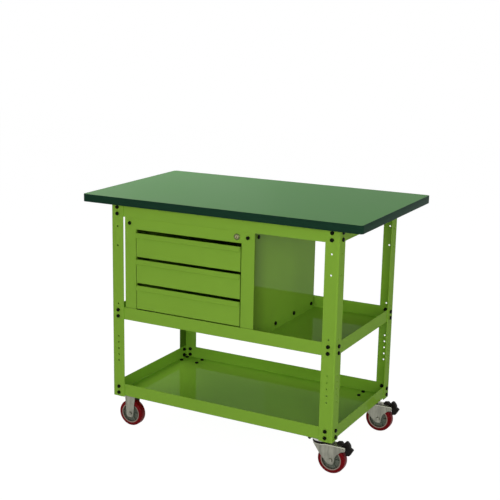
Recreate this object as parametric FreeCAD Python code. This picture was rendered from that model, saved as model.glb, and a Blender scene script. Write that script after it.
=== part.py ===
"""Mobile work table: laminate top, bolted angle posts, two trays, a locking three-drawer
cabinet and four casters, two fixed and two swivelling with brake pedals.

Millimetres. +X runs along the long side, the drawers face -Y, +Z is up.
The origin is on the floor, under the middle of the tabletop.
"""
import FreeCAD, Part
import math
import os

# Tabletop
TOP_LENGTH = 1150.0
TOP_DEPTH = 685.0
TOP_HEIGHT = 935.0
TOP_THICKNESS = 30.0
TOP_CORNER_RADIUS = 12.0
LAMINATE_THICKNESS = 1.0
EDGE_BAND_THICKNESS = 2.0
OVERHANG_LEFT = 119.5
OVERHANG_RIGHT = 90.0
OVERHANG_FRONT = 22.5
OVERHANG_BACK = 100.5

# Posts, aprons and trays
POST_FLANGE = 52.5
POST_WALL = 3.0
POST_BEND = 3.0
POST_BELOW_TRAY = 3.0
SHEET = 2.0
SHEET_BEND = 2.0
APRON_HEIGHT = 47.0
APRON_FLANGE = 27.0
APRON_END_GAP = 3.0
TRAY_LIP = 50.0
TRAY_BEND = 5.0
MIDDLE_TRAY_HEIGHT = 449.0
CASTER_HEIGHT = 133.0

# Bolts, nuts and the hole pattern of the posts
BOLT_RADIUS = 4.0
BOLT_CLEARANCE = 0.5
BOLT_LENGTH = 16.0
BOLT_HEAD_WIDTH = 13.0
BOLT_HEAD_HEIGHT = 5.3
NUT_HEIGHT = 6.5
NUT_CLEARANCE = 0.05
BOLT_PITCH = 25.0
BOLT_FROM_CORNER = 27.3
HOLE_RADIUS = 3.5
HOLE_PITCH = 25.0
UPPER_HOLE_PITCH = 75.0
UPPER_HOLES = 2
SHELF_HOLES = 5
SHELF_HOLE_DROP = 70.0
SCREW_RADIUS = 2.0
SCREW_HEAD_RADIUS = 4.5
SCREW_HEAD_HEIGHT = 2.5
SCREW_LENGTH = 24.0
SCREW_CLEARANCE = 0.3

# Cabinet
CABINET_FROM_LEFT = 59.0
CABINET_WIDTH = 556.5
STILE_LEFT = 49.5
STILE_RIGHT = 53.0
TOP_RAIL = 43.0
FRAME_RETURN = 12.0
PANEL = 1.5
PANEL_BEND = 1.5
WALL_INSET = 4.0
WALL_TOP_GAP = 6.0
WALL_NOTCH = 4.0
WALL_FRONT_FLANGE = 30.0
WALL_BACK_FLANGE = 15.0
CABINET_REAR_GAP = 12.0
BRACKET_LEG = 40.0
BRACKET_WALL = 3.0
BRACKET_DROP = 46.0
CABINET_BOLT_DROP = 20.5
CABINET_BOLT_FROM_OPENING = 26.5
CABINET_SIDE_BOLT_SETBACK = 35.0
BASE_BOLT_HEIGHT = 24.0
BASE_BOLTS = 3
BASE_BOLT_FRONT_SETBACK = 191.0
BASE_BOLT_REAR_SETBACK = 29.0

# Drawers
DRAWERS = 3
FIRST_GAP = 13.0
DRAWER_GAP = 9.5
DRAWER_BOTTOM_CLEARANCE = 3.5
DRAWER_SIDE_GAP = 2.0
DRAWER_SHEET = 1.2
DRAWER_BEND = 1.0
PULL_DEPTH = 9.0
PULL_DROP = 20.0
PULL_END_INSET = 2.0
DRAWER_RETURN = 12.0
BOX_SIDE_SPACE = 12.0
BOX_RAISE = 4.0
BOX_DROP = 14.5
BOX_REAR_SPACE = 36.0
RUNNER_RAISE = 10.0
RUNNER_LEG = 24.0
RUNNER_FOOT = 8.0
RUNNER_SHEET = 1.5
RUNNER_CLEARANCE = 0.3
RUNNER_FRONT_SETBACK = 17.0
RAIL_FRONT_SETBACK = 33.0
RAIL_WALL_FLANGE = 20.0
RAIL_STOP = 2.0

# Lock
LOCK_FROM_OPENING = 19.0
LOCK_DROP = 21.0
LOCK_HEAD_RADIUS = 12.0
LOCK_HEAD_HEIGHT = 3.0
LOCK_BARREL_RADIUS = 9.5
LOCK_BARREL_DEPTH = 20.0
LOCK_NUT_WIDTH = 26.0
LOCK_NUT_HEIGHT = 4.0
PLUG_RADIUS = 6.5
PLUG_CLEARANCE = 0.05
KEY_SLOT_WIDTH = 2.0
KEY_SLOT_LENGTH = 8.0
KEY_SLOT_DEPTH = 6.0
CAM_THICKNESS = 2.0
CAM_WIDTH = 12.0
CAM_THROW = 10.0
CAM_REST_ANGLE = -45.0
CAM_PIN_RADIUS = 2.0
CAM_PIN_SLACK = 0.4
LOCK_BAR_WIDTH = 14.0
LOCK_BAR_THICKNESS = 2.5
LOCK_BAR_FROM_OPENING = 4.0
LOCK_BAR_GAP = 2.7
LOCK_ARM_HEIGHT = 22.0
HOOK_HEIGHT = 10.0
HOOK_TO_BOX = 4.0
HOOK_RAISE = 36.0
HOOK_TO_TAB = 4.0
TAB_SETBACK = 30.0
TAB_TO_OPENING = 2.0
GUIDE_HEIGHT = 16.0
GUIDE_WALL = 1.5
GUIDE_CLEARANCE = 0.3

# Casters
CASTER_FROM_SIDE = 59.0
CASTER_FROM_END = 48.0
PLATE_LENGTH = 102.0
PLATE_WIDTH = 68.0
PLATE_THICKNESS = 4.0
PLATE_CORNER_RADIUS = 8.0
PLATE_HOLE_SPACING_X = 76.0
PLATE_HOLE_SPACING_Y = 45.0
WHEEL_DIAMETER = 105.0
WHEEL_WIDTH = 32.0
TREAD_THICKNESS = 13.0
TREAD_EDGE_RADIUS = 4.0
HUB_RIM_THICKNESS = 5.0
HUB_WEB_THICKNESS = 9.0
HUB_BOSS_RADIUS = 14.0
HUB_SIDE_GAP = 1.0
FORK_GAP = 36.0
FORK_WALL = 3.0
FORK_END_RADIUS = 16.0
RIGID_LEG_WIDTH = 45.0
SLEEVE_RADIUS = 6.0
RUNNING_CLEARANCE = 0.05
CROWN_DROP = 22.0
CROWN_THICKNESS = 4.0
CROWN_RADIUS = 30.0
LEG_LAP = 0.85
SWIVEL_TRAIL = 44.0
RACE_RADIUS = 30.0
RACE_BORE = 22.0
SEAL_RADIUS = 33.0
SWIVEL_GAP = 0.3
KINGPIN_RADIUS = 6.0
KINGPIN_HEAD_RADIUS = 11.0
KINGPIN_HEAD_HEIGHT = 3.0
PEDAL_PIVOT_REACH = 92.0
PEDAL_PIVOT_DROP = 30.0
PEDAL_ARM_RADIUS = 8.5
PEDAL_PIN_RADIUS = 3.0
PEDAL_SIDE_GAP = 0.5
PEDAL_TOP_CLEARANCE = 4.0
PEDAL_LEVER_GAP = 1.5
PEDAL_HUB_RADIUS = 8.0
PEDAL_FIN_HALF_WIDTH = 8.0
PEDAL_LEVER_TOP = 22.0
SHOE_RADIUS = 4.0
SHOE_GAP = 0.3
PEDAL_STROKE = 12.0

# Places worked out from the sizes above
Vector = FreeCAD.Vector
FRAME_LEFT = -TOP_LENGTH / 2 + OVERHANG_LEFT
FRAME_RIGHT = TOP_LENGTH / 2 - OVERHANG_RIGHT
FRAME_FRONT = -TOP_DEPTH / 2 + OVERHANG_FRONT
FRAME_BACK = TOP_DEPTH / 2 - OVERHANG_BACK
FRAME_TOP = TOP_HEIGHT - TOP_THICKNESS
INNER_LEFT = FRAME_LEFT + POST_WALL
INNER_RIGHT = FRAME_RIGHT - POST_WALL
INNER_FRONT = FRAME_FRONT + POST_WALL
INNER_BACK = FRAME_BACK - POST_WALL
FRAME_MIDDLE_X = (FRAME_LEFT + FRAME_RIGHT) / 2
FRAME_MIDDLE_Y = (FRAME_FRONT + FRAME_BACK) / 2
POST_FOOT = CASTER_HEIGHT - POST_BELOW_TRAY
APRON_BOTTOM = FRAME_TOP - APRON_HEIGHT
LIP_TOP = MIDDLE_TRAY_HEIGHT + TRAY_LIP
TRAY_FLOOR = MIDDLE_TRAY_HEIGHT + SHEET

CABINET_LEFT = FRAME_LEFT + CABINET_FROM_LEFT
CABINET_RIGHT = CABINET_LEFT + CABINET_WIDTH
CABINET_FRONT = INNER_FRONT
CABINET_BACK = INNER_BACK - SHEET - CABINET_REAR_GAP
FRAME_REAR_FACE = CABINET_FRONT + SHEET
OPENING_LEFT = CABINET_LEFT + STILE_LEFT
OPENING_RIGHT = CABINET_RIGHT - STILE_RIGHT
OPENING_MIDDLE = (OPENING_LEFT + OPENING_RIGHT) / 2
OPENING_TOP = APRON_BOTTOM - TOP_RAIL
WALL_LEFT = CABINET_LEFT + WALL_INSET
WALL_RIGHT = CABINET_RIGHT - WALL_INSET
WALL_TOP = FRAME_TOP - WALL_TOP_GAP
CABINET_BOLT_HEIGHT = APRON_BOTTOM - CABINET_BOLT_DROP

DRAWER_FRONT_HEIGHT = (
    OPENING_TOP - FIRST_GAP - (DRAWERS - 1) * DRAWER_GAP - LIP_TOP - DRAWER_BOTTOM_CLEARANCE
) / DRAWERS
BOX_HEIGHT = DRAWER_FRONT_HEIGHT - BOX_RAISE - BOX_DROP
FRONT_LEFT = OPENING_LEFT + DRAWER_SIDE_GAP
FRONT_RIGHT = OPENING_RIGHT - DRAWER_SIDE_GAP
BOX_LEFT = OPENING_LEFT + BOX_SIDE_SPACE
BOX_RIGHT = OPENING_RIGHT - BOX_SIDE_SPACE
BOX_FRONT = CABINET_FRONT + DRAWER_SHEET
BOX_BACK = CABINET_BACK - BOX_REAR_SPACE

LOCK_X = OPENING_RIGHT - LOCK_FROM_OPENING
LOCK_Z = APRON_BOTTOM - LOCK_DROP
CAM_FRONT = FRAME_REAR_FACE + LOCK_BARREL_DEPTH + SWIVEL_GAP
LOCK_BAR_FRONT = CAM_FRONT + CAM_THICKNESS + LOCK_BAR_GAP
LOCK_BAR_LEFT = OPENING_RIGHT + LOCK_BAR_FROM_OPENING
LOCK_BAR_RIGHT = LOCK_BAR_LEFT + LOCK_BAR_WIDTH
CAM_PIN_X = LOCK_X + CAM_THROW * math.cos(math.radians(CAM_REST_ANGLE))
CAM_PIN_Z = LOCK_Z + CAM_THROW * math.sin(math.radians(CAM_REST_ANGLE))

WHEEL_RADIUS = WHEEL_DIAMETER / 2
PLATE_BOTTOM = CASTER_HEIGHT - PLATE_THICKNESS
CROWN_TOP = CASTER_HEIGHT - CROWN_DROP
CROWN_BOTTOM = CROWN_TOP - CROWN_THICKNESS
LEG_OUTER = FORK_GAP / 2 + FORK_WALL
PEDAL_PIVOT_Z = CASTER_HEIGHT - PEDAL_PIVOT_DROP
LEFT_CASTER_X = FRAME_LEFT + CASTER_FROM_SIDE
RIGHT_CASTER_X = FRAME_RIGHT - CASTER_FROM_SIDE
FRONT_CASTER_Y = FRAME_FRONT + CASTER_FROM_END
BACK_CASTER_Y = FRAME_BACK - CASTER_FROM_END


def box(x0, x1, y0, y1, z0, z1):
    """A block between two corners."""
    return Part.makeBox(x1 - x0, y1 - y0, z1 - z0, Vector(x0, y0, z0))


def rod(radius, start, direction, length):
    """A round bar from a point along a direction."""
    return Part.makeCylinder(radius, length, Vector(*start), Vector(*direction))


def in_plan(u, v):
    return Vector(u, v, 0)


def in_side(u, v):
    return Vector(0, u, v)


def in_elevation(u, v):
    return Vector(u, 0, v)


def outline(points, to_space):
    """A flat face from corner points."""
    corners = [to_space(u, v) for u, v in points]
    return Part.Face(Part.makePolygon(corners + corners[:1]))


def folded_sheet(path, thickness, bend, to_space, run):
    """A bent sheet. The path is one face of the sheet in section, and a positive thickness
    lies to the left of it. Each corner is a bend with the given inside radius."""
    points = [Vector(u, v, 0) for u, v in path]
    steps = [b - a for a, b in zip(points, points[1:])]
    for step in steps:
        step.normalize()
    lefts = [Vector(-step.y, step.x, 0) for step in steps]
    near = []
    far = []
    start = points[0]
    for corner, before, after, left, left_after in zip(
        points[1:], steps, steps[1:], lefts, lefts[1:]
    ):
        turn = before.getAngle(after)
        side = math.copysign(1.0, before.x * after.y - before.y * after.x)
        path_is_outer = side * thickness > 0
        near_radius = bend + (abs(thickness) if path_is_outer else 0)
        far_radius = bend + (0 if path_is_outer else abs(thickness))
        reach = near_radius * math.tan(turn / 2)
        tangent_in = corner - before * reach
        tangent_out = corner + after * reach
        centre = tangent_in + left * (side * near_radius)
        ray = corner - centre
        ray.normalize()
        near.append((start, tangent_in, centre + ray * near_radius, tangent_out))
        far.append(
            (
                start + left * thickness,
                tangent_in + left * thickness,
                centre + ray * far_radius,
                tangent_out + left_after * thickness,
            )
        )
        start = tangent_out
    end = points[-1]
    edges = []

    def line(a, b):
        edges.append(Part.LineSegment(to_space(a.x, a.y), to_space(b.x, b.y)).toShape())

    def arc(a, b, c):
        edges.append(
            Part.Arc(to_space(a.x, a.y), to_space(b.x, b.y), to_space(c.x, c.y)).toShape()
        )

    for a, b, middle, c in near:
        line(a, b)
        arc(b, middle, c)
    line(start, end)
    far_end = end + lefts[-1] * thickness
    line(end, far_end)
    last = far_end
    for a, b, middle, c in reversed(far):
        line(last, c)
        arc(c, middle, b)
        last = b
    far_start = points[0] + lefts[0] * thickness
    line(last, far_start)
    line(far_start, points[0])
    return Part.Face(Part.Wire(edges)).extrude(Vector(*run))


def hexagon(width, height):
    """A six-sided prism on the origin, along +Z."""
    corner = width / 2 / math.cos(math.radians(30))
    points = [
        (corner * math.cos(math.radians(60 * k)), corner * math.sin(math.radians(60 * k)))
        for k in range(6)
    ]
    return outline(points, in_plan).extrude(Vector(0, 0, height))


def aimed(shape, place, direction):
    """The shape, made along +Z on the origin, turned to a direction and moved to a place."""
    turned = shape.copy()
    turned.Placement = FreeCAD.Placement(
        Vector(*place), FreeCAD.Rotation(Vector(0, 0, 1), Vector(*direction))
    )
    return turned


def hex_bolt(place, direction, length=BOLT_LENGTH):
    """A hexagon bolt whose head sits on a face at place. The direction runs into the face."""
    shank = Part.makeCylinder(BOLT_RADIUS, length)
    head = hexagon(BOLT_HEAD_WIDTH, BOLT_HEAD_HEIGHT)
    head.translate(Vector(0, 0, -BOLT_HEAD_HEIGHT))
    return aimed(head.fuse(shank), place, direction)


def hex_nut(place, direction):
    """A nut that starts at place and runs along the direction."""
    bore = Part.makeCylinder(BOLT_RADIUS + NUT_CLEARANCE, NUT_HEIGHT)
    return aimed(hexagon(BOLT_HEAD_WIDTH, NUT_HEIGHT).cut(bore), place, direction)


def bolt_hole(place, direction, depth):
    """A clearance hole for a bolt."""
    return rod(BOLT_RADIUS + BOLT_CLEARANCE, place, direction, depth)


def rounded_block(x0, x1, y0, y1, z0, z1, radius):
    """A block with rounded upright corners."""
    solid = box(x0, x1, y0, y1, z0, z1)
    uprights = [e for e in solid.Edges if abs(e.Vertexes[0].Z - e.Vertexes[1].Z) > 1e-6]
    return solid.makeFillet(radius, uprights)


def pair_heights(low, high):
    """The two bolt heights, a pitch apart, in the middle of a member."""
    middle = (low + high) / 2
    return [middle - BOLT_PITCH / 2, middle + BOLT_PITCH / 2]


APRON_BOLT_HEIGHTS = pair_heights(APRON_BOTTOM, FRAME_TOP)
MIDDLE_BOLT_HEIGHTS = pair_heights(MIDDLE_TRAY_HEIGHT, LIP_TOP)
LOWER_BOLT_HEIGHTS = pair_heights(CASTER_HEIGHT, CASTER_HEIGHT + TRAY_LIP)
BOLT_HEIGHTS = APRON_BOLT_HEIGHTS + MIDDLE_BOLT_HEIGHTS + LOWER_BOLT_HEIGHTS
SPARE_HOLE_HEIGHTS = (
    [APRON_BOLT_HEIGHTS[1] - UPPER_HOLE_PITCH * (k + 1) for k in range(UPPER_HOLES)]
    + [MIDDLE_BOLT_HEIGHTS[1] + HOLE_PITCH]
    + [MIDDLE_TRAY_HEIGHT - SHELF_HOLE_DROP - HOLE_PITCH * k for k in range(SHELF_HOLES)]
)

# Each corner of the frame: its name, its outer corner, and the way into the frame
CORNERS = [
    ("front_left", FRAME_LEFT, FRAME_FRONT, 1, 1),
    ("front_right", FRAME_RIGHT, FRAME_FRONT, -1, 1),
    ("back_left", FRAME_LEFT, FRAME_BACK, 1, -1),
    ("back_right", FRAME_RIGHT, FRAME_BACK, -1, -1),
]


def corner_lines():
    """Every flange of every post: a point at floor height where its row of holes is, and the
    direction into the frame."""
    lines = []
    for name, x, y, into_x, into_y in CORNERS:
        lines.append((x + into_x * BOLT_FROM_CORNER, y, (0, into_y, 0)))
        lines.append((x, y + into_y * BOLT_FROM_CORNER, (into_x, 0, 0)))
    return lines


def frame_bolt_holes(heights, depth):
    """Clearance holes through the flanges and what stands behind them."""
    return Part.makeCompound(
        [
            bolt_hole((x, y, z), direction, depth)
            for x, y, direction in corner_lines()
            for z in heights
        ]
    )


def tabletop():
    """Core board, laminate sheet and edge band."""
    x = TOP_LENGTH / 2
    y = TOP_DEPTH / 2
    band = EDGE_BAND_THICKNESS
    inner_radius = TOP_CORNER_RADIUS - band
    core_top = TOP_HEIGHT - LAMINATE_THICKNESS
    core = rounded_block(-x + band, x - band, -y + band, y - band, FRAME_TOP, core_top, inner_radius)
    for place in screw_places():
        core = core.cut(rod(SCREW_RADIUS, place, (0, 0, 1), SCREW_LENGTH))
    laminate = rounded_block(
        -x + band, x - band, -y + band, y - band, core_top, TOP_HEIGHT, inner_radius
    )
    hollow = rounded_block(
        -x + band, x - band, -y + band, y - band, FRAME_TOP - 1, TOP_HEIGHT + 1, inner_radius
    )
    block = rounded_block(-x, x, -y, y, FRAME_TOP, TOP_HEIGHT, TOP_CORNER_RADIUS)
    return {
        "tabletop_core": core,
        "tabletop_laminate": laminate,
        "tabletop_edge_band": block.cut(hollow),
    }


def screw_places():
    """Where the screws come up through the apron flanges into the core."""
    front = INNER_FRONT + APRON_FLANGE / 2
    back = INNER_BACK - APRON_FLANGE / 2
    left = INNER_LEFT + APRON_FLANGE / 2
    right = INNER_RIGHT - APRON_FLANGE / 2
    quarter = (FRAME_RIGHT - FRAME_LEFT) / 4
    z = FRAME_TOP - SHEET
    rows = [
        (FRAME_MIDDLE_X + quarter * step, y, z)
        for y in (front, back)
        for step in (-1, 0, 1)
    ]
    return rows + [(left, FRAME_MIDDLE_Y, z), (right, FRAME_MIDDLE_Y, z)]


def tabletop_screws():
    """Pan-head screws that hold the top to the aprons."""
    screws = []
    for x, y, z in screw_places():
        head = rod(SCREW_HEAD_RADIUS, (x, y, z - SCREW_HEAD_HEIGHT), (0, 0, 1), SCREW_HEAD_HEIGHT)
        shank = rod(SCREW_RADIUS, (x, y, z), (0, 0, 1), SCREW_LENGTH)
        screws.append(head.fuse(shank))
    return {"tabletop_screws": Part.makeCompound(screws)}


def posts():
    """Four angle posts with the bolt holes and the spare holes for accessories."""
    nodes = {}
    for name, x, y, into_x, into_y in CORNERS:
        path = [(x, y + into_y * POST_FLANGE), (x, y), (x + into_x * POST_FLANGE, y)]
        wall = POST_WALL * into_x * into_y
        height = FRAME_TOP - POST_FOOT
        post = folded_sheet(path, wall, POST_BEND, in_plan, (0, 0, height))
        post.translate(Vector(0, 0, POST_FOOT))
        holes = []
        for start, direction in (
            ((x + into_x * BOLT_FROM_CORNER, y), (0, into_y, 0)),
            ((x, y + into_y * BOLT_FROM_CORNER), (into_x, 0, 0)),
        ):
            holes += [bolt_hole((*start, z), direction, POST_WALL) for z in BOLT_HEIGHTS]
            holes += [
                rod(HOLE_RADIUS, (*start, z), direction, POST_WALL) for z in SPARE_HOLE_HEIGHTS
            ]
        nodes["post_" + name] = post.cut(Part.makeCompound(holes))
    return nodes


def aprons():
    """Four folded aprons under the top. Their inward flanges carry it."""
    low = APRON_BOTTOM
    top = FRAME_TOP
    long_run = INNER_RIGHT - INNER_LEFT - 2 * APRON_END_GAP
    front = folded_sheet(
        [(INNER_FRONT, low), (INNER_FRONT, top), (INNER_FRONT + APRON_FLANGE, top)],
        -SHEET, SHEET_BEND, in_side, (long_run, 0, 0),
    )
    front.translate(Vector(INNER_LEFT + APRON_END_GAP, 0, 0))
    back = folded_sheet(
        [(INNER_BACK, low), (INNER_BACK, top), (INNER_BACK - APRON_FLANGE, top)],
        SHEET, SHEET_BEND, in_side, (long_run, 0, 0),
    )
    back.translate(Vector(INNER_LEFT + APRON_END_GAP, 0, 0))
    side_front = INNER_FRONT + APRON_END_GAP
    side_length = INNER_BACK - APRON_END_GAP - side_front
    corner_room = APRON_FLANGE - APRON_END_GAP + SCREW_CLEARANCE
    nodes = {"apron_front": front, "apron_back": back}
    for name, x, into_x in (("apron_left", INNER_LEFT, 1), ("apron_right", INNER_RIGHT, -1)):
        side = folded_sheet(
            [(x, low), (x, top), (x + into_x * APRON_FLANGE, top)],
            -SHEET * into_x, SHEET_BEND, in_elevation, (0, side_length, 0),
        )
        side.translate(Vector(0, side_front, 0))
        reach = sorted((x + into_x * (SHEET + SHEET_BEND), x + into_x * (APRON_FLANGE + 1)))
        for y0, y1 in (
            (side_front, side_front + corner_room),
            (side_front + side_length - corner_room, side_front + side_length),
        ):
            side = side.cut(box(*reach, y0, y1, top - SHEET, top))
            side = side.cut(box(*sorted((x, reach[0])), y0, y1, top - SHEET - SHEET_BEND, top))
            side = side.cut(box(*sorted((x, reach[1])), y0, y1, top - SHEET - SHEET_BEND, top))
        nodes[name] = side
    holes = frame_bolt_holes(APRON_BOLT_HEIGHTS, POST_WALL + SHEET)
    for x, y, z in screw_places():
        hole = rod(SCREW_RADIUS + SCREW_CLEARANCE, (x, y, z), (0, 0, 1), SHEET)
        holes = Part.makeCompound([holes, hole])
    return {name: apron.cut(holes) for name, apron in nodes.items()}


def tray(floor_height):
    """A folded tray with lips up all round, bent and welded at its corners."""
    outer = box(
        INNER_LEFT, INNER_RIGHT, INNER_FRONT, INNER_BACK, floor_height, floor_height + TRAY_LIP
    )
    rounded = [
        edge for edge in outer.Edges if edge.BoundBox.ZMin < floor_height + TRAY_LIP - 1e-6
    ]
    outer = outer.makeFillet(TRAY_BEND, rounded)
    inner = box(
        INNER_LEFT + SHEET, INNER_RIGHT - SHEET, INNER_FRONT + SHEET, INNER_BACK - SHEET,
        floor_height + SHEET, floor_height + TRAY_LIP + TRAY_BEND,
    )
    top = floor_height + TRAY_LIP + TRAY_BEND
    rounded = [edge for edge in inner.Edges if edge.BoundBox.ZMin < top - 1e-6]
    return outer.cut(inner.makeFillet(TRAY_BEND - SHEET, rounded))


def trays():
    """Middle and lower tray, drilled for the frame bolts and the caster bolts."""
    middle = tray(MIDDLE_TRAY_HEIGHT).cut(
        frame_bolt_holes(MIDDLE_BOLT_HEIGHTS, POST_WALL + SHEET)
    )
    lower = tray(CASTER_HEIGHT).cut(frame_bolt_holes(LOWER_BOLT_HEIGHTS, POST_WALL + SHEET))
    holes = [
        bolt_hole((x, y, CASTER_HEIGHT), (0, 0, 1), SHEET) for x, y in caster_bolt_places()
    ]
    return {"middle_tray": middle, "lower_tray": lower.cut(Part.makeCompound(holes))}


def caster_bolt_places():
    """Four bolts through each caster plate."""
    return [
        (x + dx * PLATE_HOLE_SPACING_X / 2, y + dy * PLATE_HOLE_SPACING_Y / 2)
        for x in (LEFT_CASTER_X, RIGHT_CASTER_X)
        for y in (FRONT_CASTER_Y, BACK_CASTER_Y)
        for dx in (-1, 1)
        for dy in (-1, 1)
    ]


def cabinet_bolt_places():
    """Each bolt through the cabinet: where its head sits, its direction, and how much it clamps."""
    places = []
    front_grip = SHEET + PANEL + BRACKET_WALL
    side_grip = PANEL + BRACKET_WALL
    for x in (OPENING_LEFT - CABINET_BOLT_FROM_OPENING, OPENING_RIGHT + CABINET_BOLT_FROM_OPENING):
        places.append(((x, CABINET_FRONT, CABINET_BOLT_HEIGHT), (0, 1, 0), front_grip))
    for x, into in ((WALL_LEFT, 1), (WALL_RIGHT, -1)):
        y = CABINET_FRONT + CABINET_SIDE_BOLT_SETBACK
        places.append(((x, y, CABINET_BOLT_HEIGHT), (into, 0, 0), side_grip))
        first = CABINET_FRONT + BASE_BOLT_FRONT_SETBACK
        last = CABINET_BACK - BASE_BOLT_REAR_SETBACK
        for k in range(BASE_BOLTS):
            y = first + (last - first) * k / (BASE_BOLTS - 1)
            z = TRAY_FLOOR + BASE_BOLT_HEIGHT
            places.append(((x, y, z), (into, 0, 0), side_grip))
    return places


def fasteners():
    """Bolts of the frame, the casters and the cabinet, and every nut."""
    frame_bolts = []
    nuts = []
    for x, y, direction in corner_lines():
        for z in BOLT_HEIGHTS:
            frame_bolts.append(hex_bolt((x, y, z), direction))
            grip = POST_WALL + SHEET
            start = (x + direction[0] * grip, y + direction[1] * grip, z)
            nuts.append(hex_nut(start, direction))
    caster_bolts = []
    for x, y in caster_bolt_places():
        caster_bolts.append(hex_bolt((x, y, CASTER_HEIGHT + SHEET), (0, 0, -1)))
        nuts.append(hex_nut((x, y, PLATE_BOTTOM), (0, 0, -1)))
    cabinet_bolts = []
    for place, direction, grip in cabinet_bolt_places():
        cabinet_bolts.append(hex_bolt(place, direction))
        start = tuple(p + d * grip for p, d in zip(place, direction))
        nuts.append(hex_nut(start, direction))
    return {
        "frame_bolts": Part.makeCompound(frame_bolts),
        "caster_bolts": Part.makeCompound(caster_bolts),
        "cabinet_bolts": Part.makeCompound(cabinet_bolts),
        "hex_nuts": Part.makeCompound(nuts),
    }


def cabinet_front_frame():
    """The painted frame round the drawers, flush with the apron and standing on the tray lip."""
    y0 = CABINET_FRONT
    y1 = FRAME_REAR_FACE
    frame = box(CABINET_LEFT, CABINET_RIGHT, y0, y1, LIP_TOP, APRON_BOTTOM)
    frame = frame.cut(box(OPENING_LEFT, OPENING_RIGHT, y0, y1, LIP_TOP, OPENING_TOP))
    deep = y0 + FRAME_RETURN
    side_low = LIP_TOP
    left = box(OPENING_LEFT - PANEL, OPENING_LEFT, y0, deep, side_low, OPENING_TOP + PANEL)
    right = box(OPENING_RIGHT, OPENING_RIGHT + PANEL, y0, deep, side_low, OPENING_TOP + PANEL)
    top = box(
        OPENING_LEFT - PANEL, OPENING_RIGHT + PANEL, y0, deep, OPENING_TOP, OPENING_TOP + PANEL
    )
    frame = frame.fuse([left, right, top]).removeSplitter()
    for place, direction, grip in cabinet_bolt_places()[:2]:
        frame = frame.cut(bolt_hole(place, direction, grip))
    barrel = rod(LOCK_BARREL_RADIUS, (LOCK_X, y0, LOCK_Z), (0, 1, 0), SHEET)
    return frame.cut(barrel)


def cabinet_shell():
    """Side walls with their flanges, the back, and the brackets behind the corners."""
    holes = Part.makeCompound(
        [bolt_hole(place, direction, grip) for place, direction, grip in cabinet_bolt_places()]
    )
    wall_front = FRAME_REAR_FACE
    nodes = {"cabinet_front_frame": cabinet_front_frame()}
    brackets = []
    for name, x, into in (
        ("cabinet_left_side", WALL_LEFT, 1),
        ("cabinet_right_side", WALL_RIGHT, -1),
    ):
        path = [
            (x + into * WALL_BACK_FLANGE, CABINET_BACK),
            (x, CABINET_BACK),
            (x, wall_front),
            (x + into * WALL_FRONT_FLANGE, wall_front),
        ]
        wall = folded_sheet(
            path, PANEL * into, PANEL_BEND, in_plan, (0, 0, WALL_TOP - TRAY_FLOOR)
        )
        wall.translate(Vector(0, 0, TRAY_FLOOR))
        notch = box(
            *sorted((x, x + into * WALL_FRONT_FLANGE)), wall_front, wall_front + WALL_NOTCH,
            TRAY_FLOOR, TRAY_FLOOR + WALL_NOTCH,
        )
        nodes[name] = wall.cut(notch).cut(holes)

        inner = x + into * PANEL
        corner_y = wall_front + PANEL
        low = CABINET_BOLT_HEIGHT - BRACKET_DROP / 2
        hanger_path = [
            (inner, corner_y + BRACKET_LEG),
            (inner, corner_y),
            (inner + into * BRACKET_LEG, corner_y),
        ]
        hanger = folded_sheet(
            hanger_path, BRACKET_WALL * into, BRACKET_WALL, in_plan, (0, 0, WALL_TOP - low)
        )
        hanger.translate(Vector(0, 0, low))
        brackets.append(hanger.cut(holes))

        base_front = corner_y + BRACKET_LEG
        base_path = [
            (inner, TRAY_FLOOR + BRACKET_LEG),
            (inner, TRAY_FLOOR),
            (inner + into * BRACKET_LEG, TRAY_FLOOR),
        ]
        base = folded_sheet(
            base_path, BRACKET_WALL * into, BRACKET_WALL, in_elevation,
            (0, CABINET_BACK - 2 * PANEL - base_front, 0),
        )
        base.translate(Vector(0, base_front, 0))
        brackets.append(base.cut(holes))
    nodes["cabinet_brackets"] = Part.makeCompound(brackets)
    back_face = CABINET_BACK - PANEL
    back_inset = PANEL + PANEL_BEND
    nodes["cabinet_back"] = box(
        WALL_LEFT + back_inset, WALL_RIGHT - back_inset, back_face - PANEL, back_face,
        TRAY_FLOOR, WALL_TOP,
    )
    return nodes


def drawer_bottoms():
    """The bottom edge of each drawer front, from the top drawer down."""
    pitch = DRAWER_FRONT_HEIGHT + DRAWER_GAP
    top_one = OPENING_TOP - FIRST_GAP - DRAWER_FRONT_HEIGHT
    return [top_one - pitch * k for k in range(DRAWERS)]


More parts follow.
